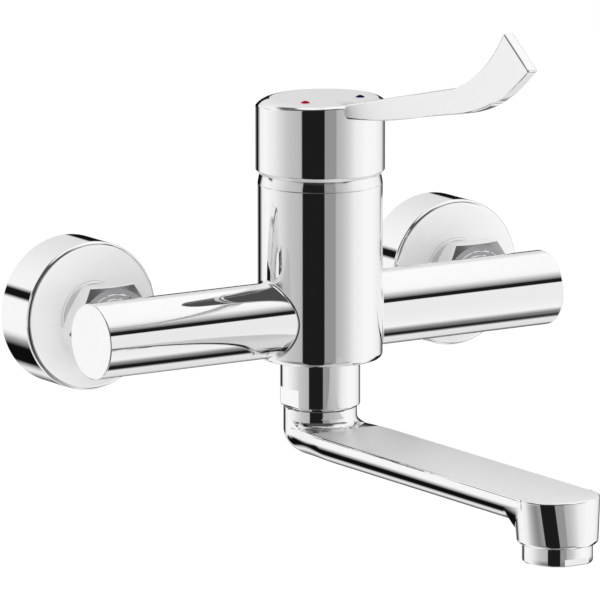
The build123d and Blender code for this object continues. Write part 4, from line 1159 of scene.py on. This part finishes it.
ring_angles = flat_angles(AERATOR_R, AERATOR_FLATS, pi / 2)
ring_cut = flat_cut(ring_angles, AERATOR_R, AERATOR_FLATS, pi / 2)
ring_rows = [(AERATOR_BORE_R, AERATOR_LIP_TOP), (AERATOR_BORE_R, AERATOR_TOP),
             (AERATOR_THREAD_R - AERATOR_THREAD_CHAMFER, AERATOR_TOP),
             (AERATOR_THREAD_R, AERATOR_TOP - AERATOR_THREAD_CHAMFER), (AERATOR_THREAD_R, HEAD_BOTTOM)]
ring_rows += edge_rows(AERATOR_R, HEAD_BOTTOM, AERATOR_TOP_EDGE, -1)
ring_rows += step_rows(AERATOR_R, ring_cut, AERATOR_STEP)
q = quarter(AERATOR_EDGE_STEPS)[:, None]
ring_rows += zip(ring_cut - AERATOR_BOTTOM_ROUND * (1 - np.cos(q)),
                 AERATOR_BOTTOM + AERATOR_BOTTOM_ROUND * (1 - np.sin(q)))
ring_rows += [(AERATOR_LIP_R + AERATOR_LIP_CHAMFER, AERATOR_BOTTOM),
              (AERATOR_LIP_R, AERATOR_BOTTOM + AERATOR_LIP_CHAMFER), (AERATOR_LIP_R, AERATOR_LIP_TOP),
              (AERATOR_BORE_R, AERATOR_LIP_TOP)]
ring = new_object("aerator_housing", [moved(turned(ring_rows, ring_angles), 0, -SPOUT_REACH)])
piece(ring, "spout", "chrome", CHROME, "aerator_ring")

# CAD nodes that keep their shape get their finish

kept = {
    "cartridge_nut": BRASS, "cartridge_housing": ACETAL, "cartridge_base": ACETAL, "floor_seals": NITRILE,
    "disc_seals": NITRILE, "fixed_disc": CERAMIC, "moving_disc": CERAMIC, "disc_carrier": NYLON,
    "stem_guide": NYLON, "stem_pin": STEEL, "stem": STEEL, "limit_ring": RED_ACETAL, "grub_screw": STEEL,
    "spout_retaining_ring": NYLON, "spout_o_rings": NITRILE, "aerator_insert": ACETAL,
    "aerator_seal": NITRILE, "left_inlet_nipple": CHROME, "right_inlet_nipple": CHROME,
    "left_filter_washer": NITRILE, "right_filter_washer": NITRILE,
}
for name, material in kept.items():
    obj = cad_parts[name]
    for slot in obj.material_slots:
        slot.material = material
    if not obj.material_slots:
        obj.data.materials.append(material)

# camera at the photo's angle, to the left of the front and a little above, on the crossing of barrel and tube

LEFT_OF_FRONT = 32.83
AZIMUTH = radians(LEFT_OF_FRONT)
ELEVATION = radians(10.89)
DISTANCE = 3.5
PHOTO_SIZE = 600
FOCAL_PIXELS = 10127
CROSSING_PIXEL = (320.15, 313.98)
SENSOR = 36
CLIP_END = 50
target = Vector(PLACE * MM)
forward = Vector((sin(AZIMUTH) * cos(ELEVATION), cos(AZIMUTH) * cos(ELEVATION), -sin(ELEVATION)))
camera_data = bpy.data.cameras.new("camera")
camera = bpy.data.objects.new("camera", camera_data)
bpy.context.scene.collection.objects.link(camera)
camera.location = target - forward * DISTANCE
camera.rotation_euler = forward.to_track_quat("-Z", "Y").to_euler()
camera_data.sensor_width = SENSOR
camera_data.lens = FOCAL_PIXELS * SENSOR / PHOTO_SIZE
camera_data.shift_x = 0.5 - CROSSING_PIXEL[0] / PHOTO_SIZE
camera_data.shift_y = CROSSING_PIXEL[1] / PHOTO_SIZE - 0.5
camera_data.clip_end = CLIP_END
bpy.context.scene.camera = camera

# floor: white to the camera, clear to mirror rays, which see the studio

FLOOR = -0.32
FLOOR_HALF = 9.0
floor_mesh = bpy.data.meshes.new("floor")
floor_corners = [(x * FLOOR_HALF, y * FLOOR_HALF, FLOOR) for x, y in ((-1, -1), (1, -1), (1, 1), (-1, 1))]
floor_mesh.from_pydata(floor_corners, [], [(0, 1, 2, 3)])
floor = bpy.data.objects.new("floor", floor_mesh)
bpy.context.scene.collection.objects.link(floor)
paper = bpy.data.materials.new("studio_paper")
paper.use_nodes = True
tree = paper.node_tree
tree.nodes.clear()
rays = node(tree, "ShaderNodeLightPath")
matt = node(tree, "ShaderNodeBsdfDiffuse", Color=linear("#ffffff"))
clear = node(tree, "ShaderNodeBsdfTransparent")
both = node(tree, "ShaderNodeMixShader", Fac=rays.outputs["Is Glossy Ray"], i1=matt.outputs[0],
            i2=clear.outputs[0])
node(tree, "ShaderNodeOutputMaterial", Surface=both.outputs[0])
floor_mesh.materials.append(paper)

# studio: white to the camera; mirror rays see pale walls with dark and grey cards

world = bpy.data.worlds.new("studio")
bpy.context.scene.world = world
world.use_nodes = True
tree = world.node_tree
tree.nodes.clear()
rays = node(tree, "ShaderNodeLightPath")
sight = node(tree, "ShaderNodeTexCoord")
split = node(tree, "ShaderNodeSeparateXYZ", Vector=sight.outputs["Generated"])
azimuth = node(tree, "ShaderNodeMath", {"operation": "ARCTAN2"}, i0=split.outputs["X"], i1=split.outputs["Y"])
around = node(tree, "ShaderNodeMapRange", Value=azimuth.outputs[0], From_Min=-pi, From_Max=pi)
height = node(tree, "ShaderNodeMapRange", Value=split.outputs["Z"], From_Min=-1.0, From_Max=1.0)

# direction of the photo's viewpoint, from which offsets count in degrees, left below and right above 0
VIEW = 180 + LEFT_OF_FRONT
# walls, as (offset, grey level): soft light that falls off towards the viewpoint and behind the tap
WALLS = ((-180, 224), (-115, 252), (-90, 238), (-60, 200), (-35, 186), (9, 160), (40, 192), (52, 212),
         (66, 240), (90, 253), (115, 251), (150, 230))
SEAM_LEVEL = 185
MIRROR_STRENGTH = 1.06
# cards, as (grey level, offsets, elevations), each laid over those before it; the four offsets and
# elevations are where it starts to show, is full, is still full and has faded out again
CARDS = (
    # grey flag to the right of the viewpoint, grey floor below it and black flag to its left
    (150, (8, 8.6, 28.4, 29.2), (-70, -60, 60, 75)),
    (130, (-92, -50, 46, 66), (-60, -45, -17, -13)),
    (28, (-33.4, -32.8, 8.2, 8.8), (-75, -62, 46, 52)),
    # grey ceiling above them and to the left, and the white top of the studio
    (80, (-95, -84, 44, 58), (18, 25, 62, 68)),
    (95, (-150, -125, -96, -84), (40, 48, 62, 68)),
    (255, (-179.5, -179, 179, 179.5), (64, 70, 89, 90)),
    # dark corners behind the tap, left and right of the line of sight, and black right behind it
    (22, (-134, -146, -158, -172), (-19, -14, 4, 9)),
    (84, (140, 158, 168, 179), (-19, -14, 4, 9)),
    (105, (162, 170, -174, -164), (-32, -26, 3, 9)),
    (16, (150, 166, -150, -140), (-10, -8, 9, 12)),
    # dark floor edge to the left behind, and dark ledge to the left
    (14, (-118, -131, -150, -160), (-40, -36, -25, -20)),
    (20, (-100, -107, -119, -127), (6, 8.5, 13.5, 16.5)),
    # to the right: a dark floor edge behind, a white screen, and a slot that fades upwards
    (30, (118, 132, 170, 178), (-40, -34, -14.5, -12.3)),
    (255, (80, 105, 176, 179.5), (26, 38, 89, 90)),
    (140, (36, 52, 88, 104), (20, 25, 30, 44)),
    (26, (40, 50, 80, 92), (17.5, 19, 26.5, 30)),
    # dark strip on the floor to the right, and grey straight below
    (130, (60, 76, 120, 140), (-60, -56, -52, -44)),
    (26, (78, 92, 122, 136), (-62, -60, -56.5, -54)),
    (105, (-179.5, -179, 179, 179.5), (-90, -89, -76, -68)),
)


def turn_share(offset):
    """Place on the azimuth ramp of a direction given by its offset from the viewpoint."""
    return ((VIEW - offset + 180) % 360) / 360


def height_share(elevation):
    """Place on the height ramp of a direction given by its elevation in degrees."""
    return (sin(radians(elevation)) + 1) / 2


def ramp_of(source, stops):
    """Colour along a source (0 to 1) through (place, colour) stops."""
    ramp = node(tree, "ShaderNodeValToRGB", Fac=source)
    elements = ramp.color_ramp.elements
    while len(elements) > 1:
        elements.remove(elements[-1])
    for i, (place, colour) in enumerate(sorted(stops)):
        element = elements[0] if i == 0 else elements.new(place)
        element.position = place
        element.color = colour
    return ramp.outputs["Color"]


def grey(level):
    """Colour of a grey level from 0 to 255."""
    return linear("#" + f"{level:02x}" * 3)


def card(under, level, offsets, elevations):
    """Colour of the studio with a grey card laid over the colour under it."""
    shares = ((0, 0, 0, 1), (1, 1, 1, 1), (1, 1, 1, 1), (0, 0, 0, 1))
    wide = ramp_of(around.outputs["Result"], [(turn_share(o), s) for o, s in zip(offsets, shares)])
    tall = ramp_of(height.outputs["Result"], [(height_share(e), s) for e, s in zip(elevations, shares)])
    mask = node(tree, "ShaderNodeMath", {"operation": "MULTIPLY"}, i0=wide, i1=tall)
    # inputs 6 and 7 and output 2 are the colours of a mix node
    mix = node(tree, "ShaderNodeMix", {"data_type": "RGBA"}, i0=mask.outputs[0], i6=under, i7=grey(level))
    return mix.outputs[2]


wall_stops = [(turn_share(offset), grey(level)) for offset, level in WALLS]
wall_stops += [(0.0, grey(SEAM_LEVEL)), (1.0, grey(SEAM_LEVEL))]
studio = ramp_of(around.outputs["Result"], wall_stops)
for level, offsets, elevations in CARDS:
    studio = card(studio, level, offsets, elevations)
plain = node(tree, "ShaderNodeBackground", Color=(1, 1, 1, 1), Strength=1.0)
mirrored = node(tree, "ShaderNodeBackground", Color=studio, Strength=MIRROR_STRENGTH)
mixed = node(tree, "ShaderNodeMixShader", Fac=rays.outputs["Is Glossy Ray"], i1=plain.outputs[0],
             i2=mirrored.outputs[0])
node(tree, "ShaderNodeOutputWorld", Surface=mixed.outputs[0])

# soft lamp to the left above, unseen in the chrome

LAMP_WATTS = 6.0
LAMP_SIZE = 1.6
LAMP_PLACE = (-0.9, -1.4, 1.9)
lamp_data = bpy.data.lights.new("soft_lamp", "AREA")
lamp_data.energy = LAMP_WATTS
lamp_data.size = LAMP_SIZE
lamp = bpy.data.objects.new("soft_lamp", lamp_data)
bpy.context.scene.collection.objects.link(lamp)
lamp.location = LAMP_PLACE
lamp.rotation_euler = (target - lamp.location).to_track_quat("-Z", "Y").to_euler()
lamp.visible_glossy = False

bpy.context.scene.view_settings.view_transform = "Standard"
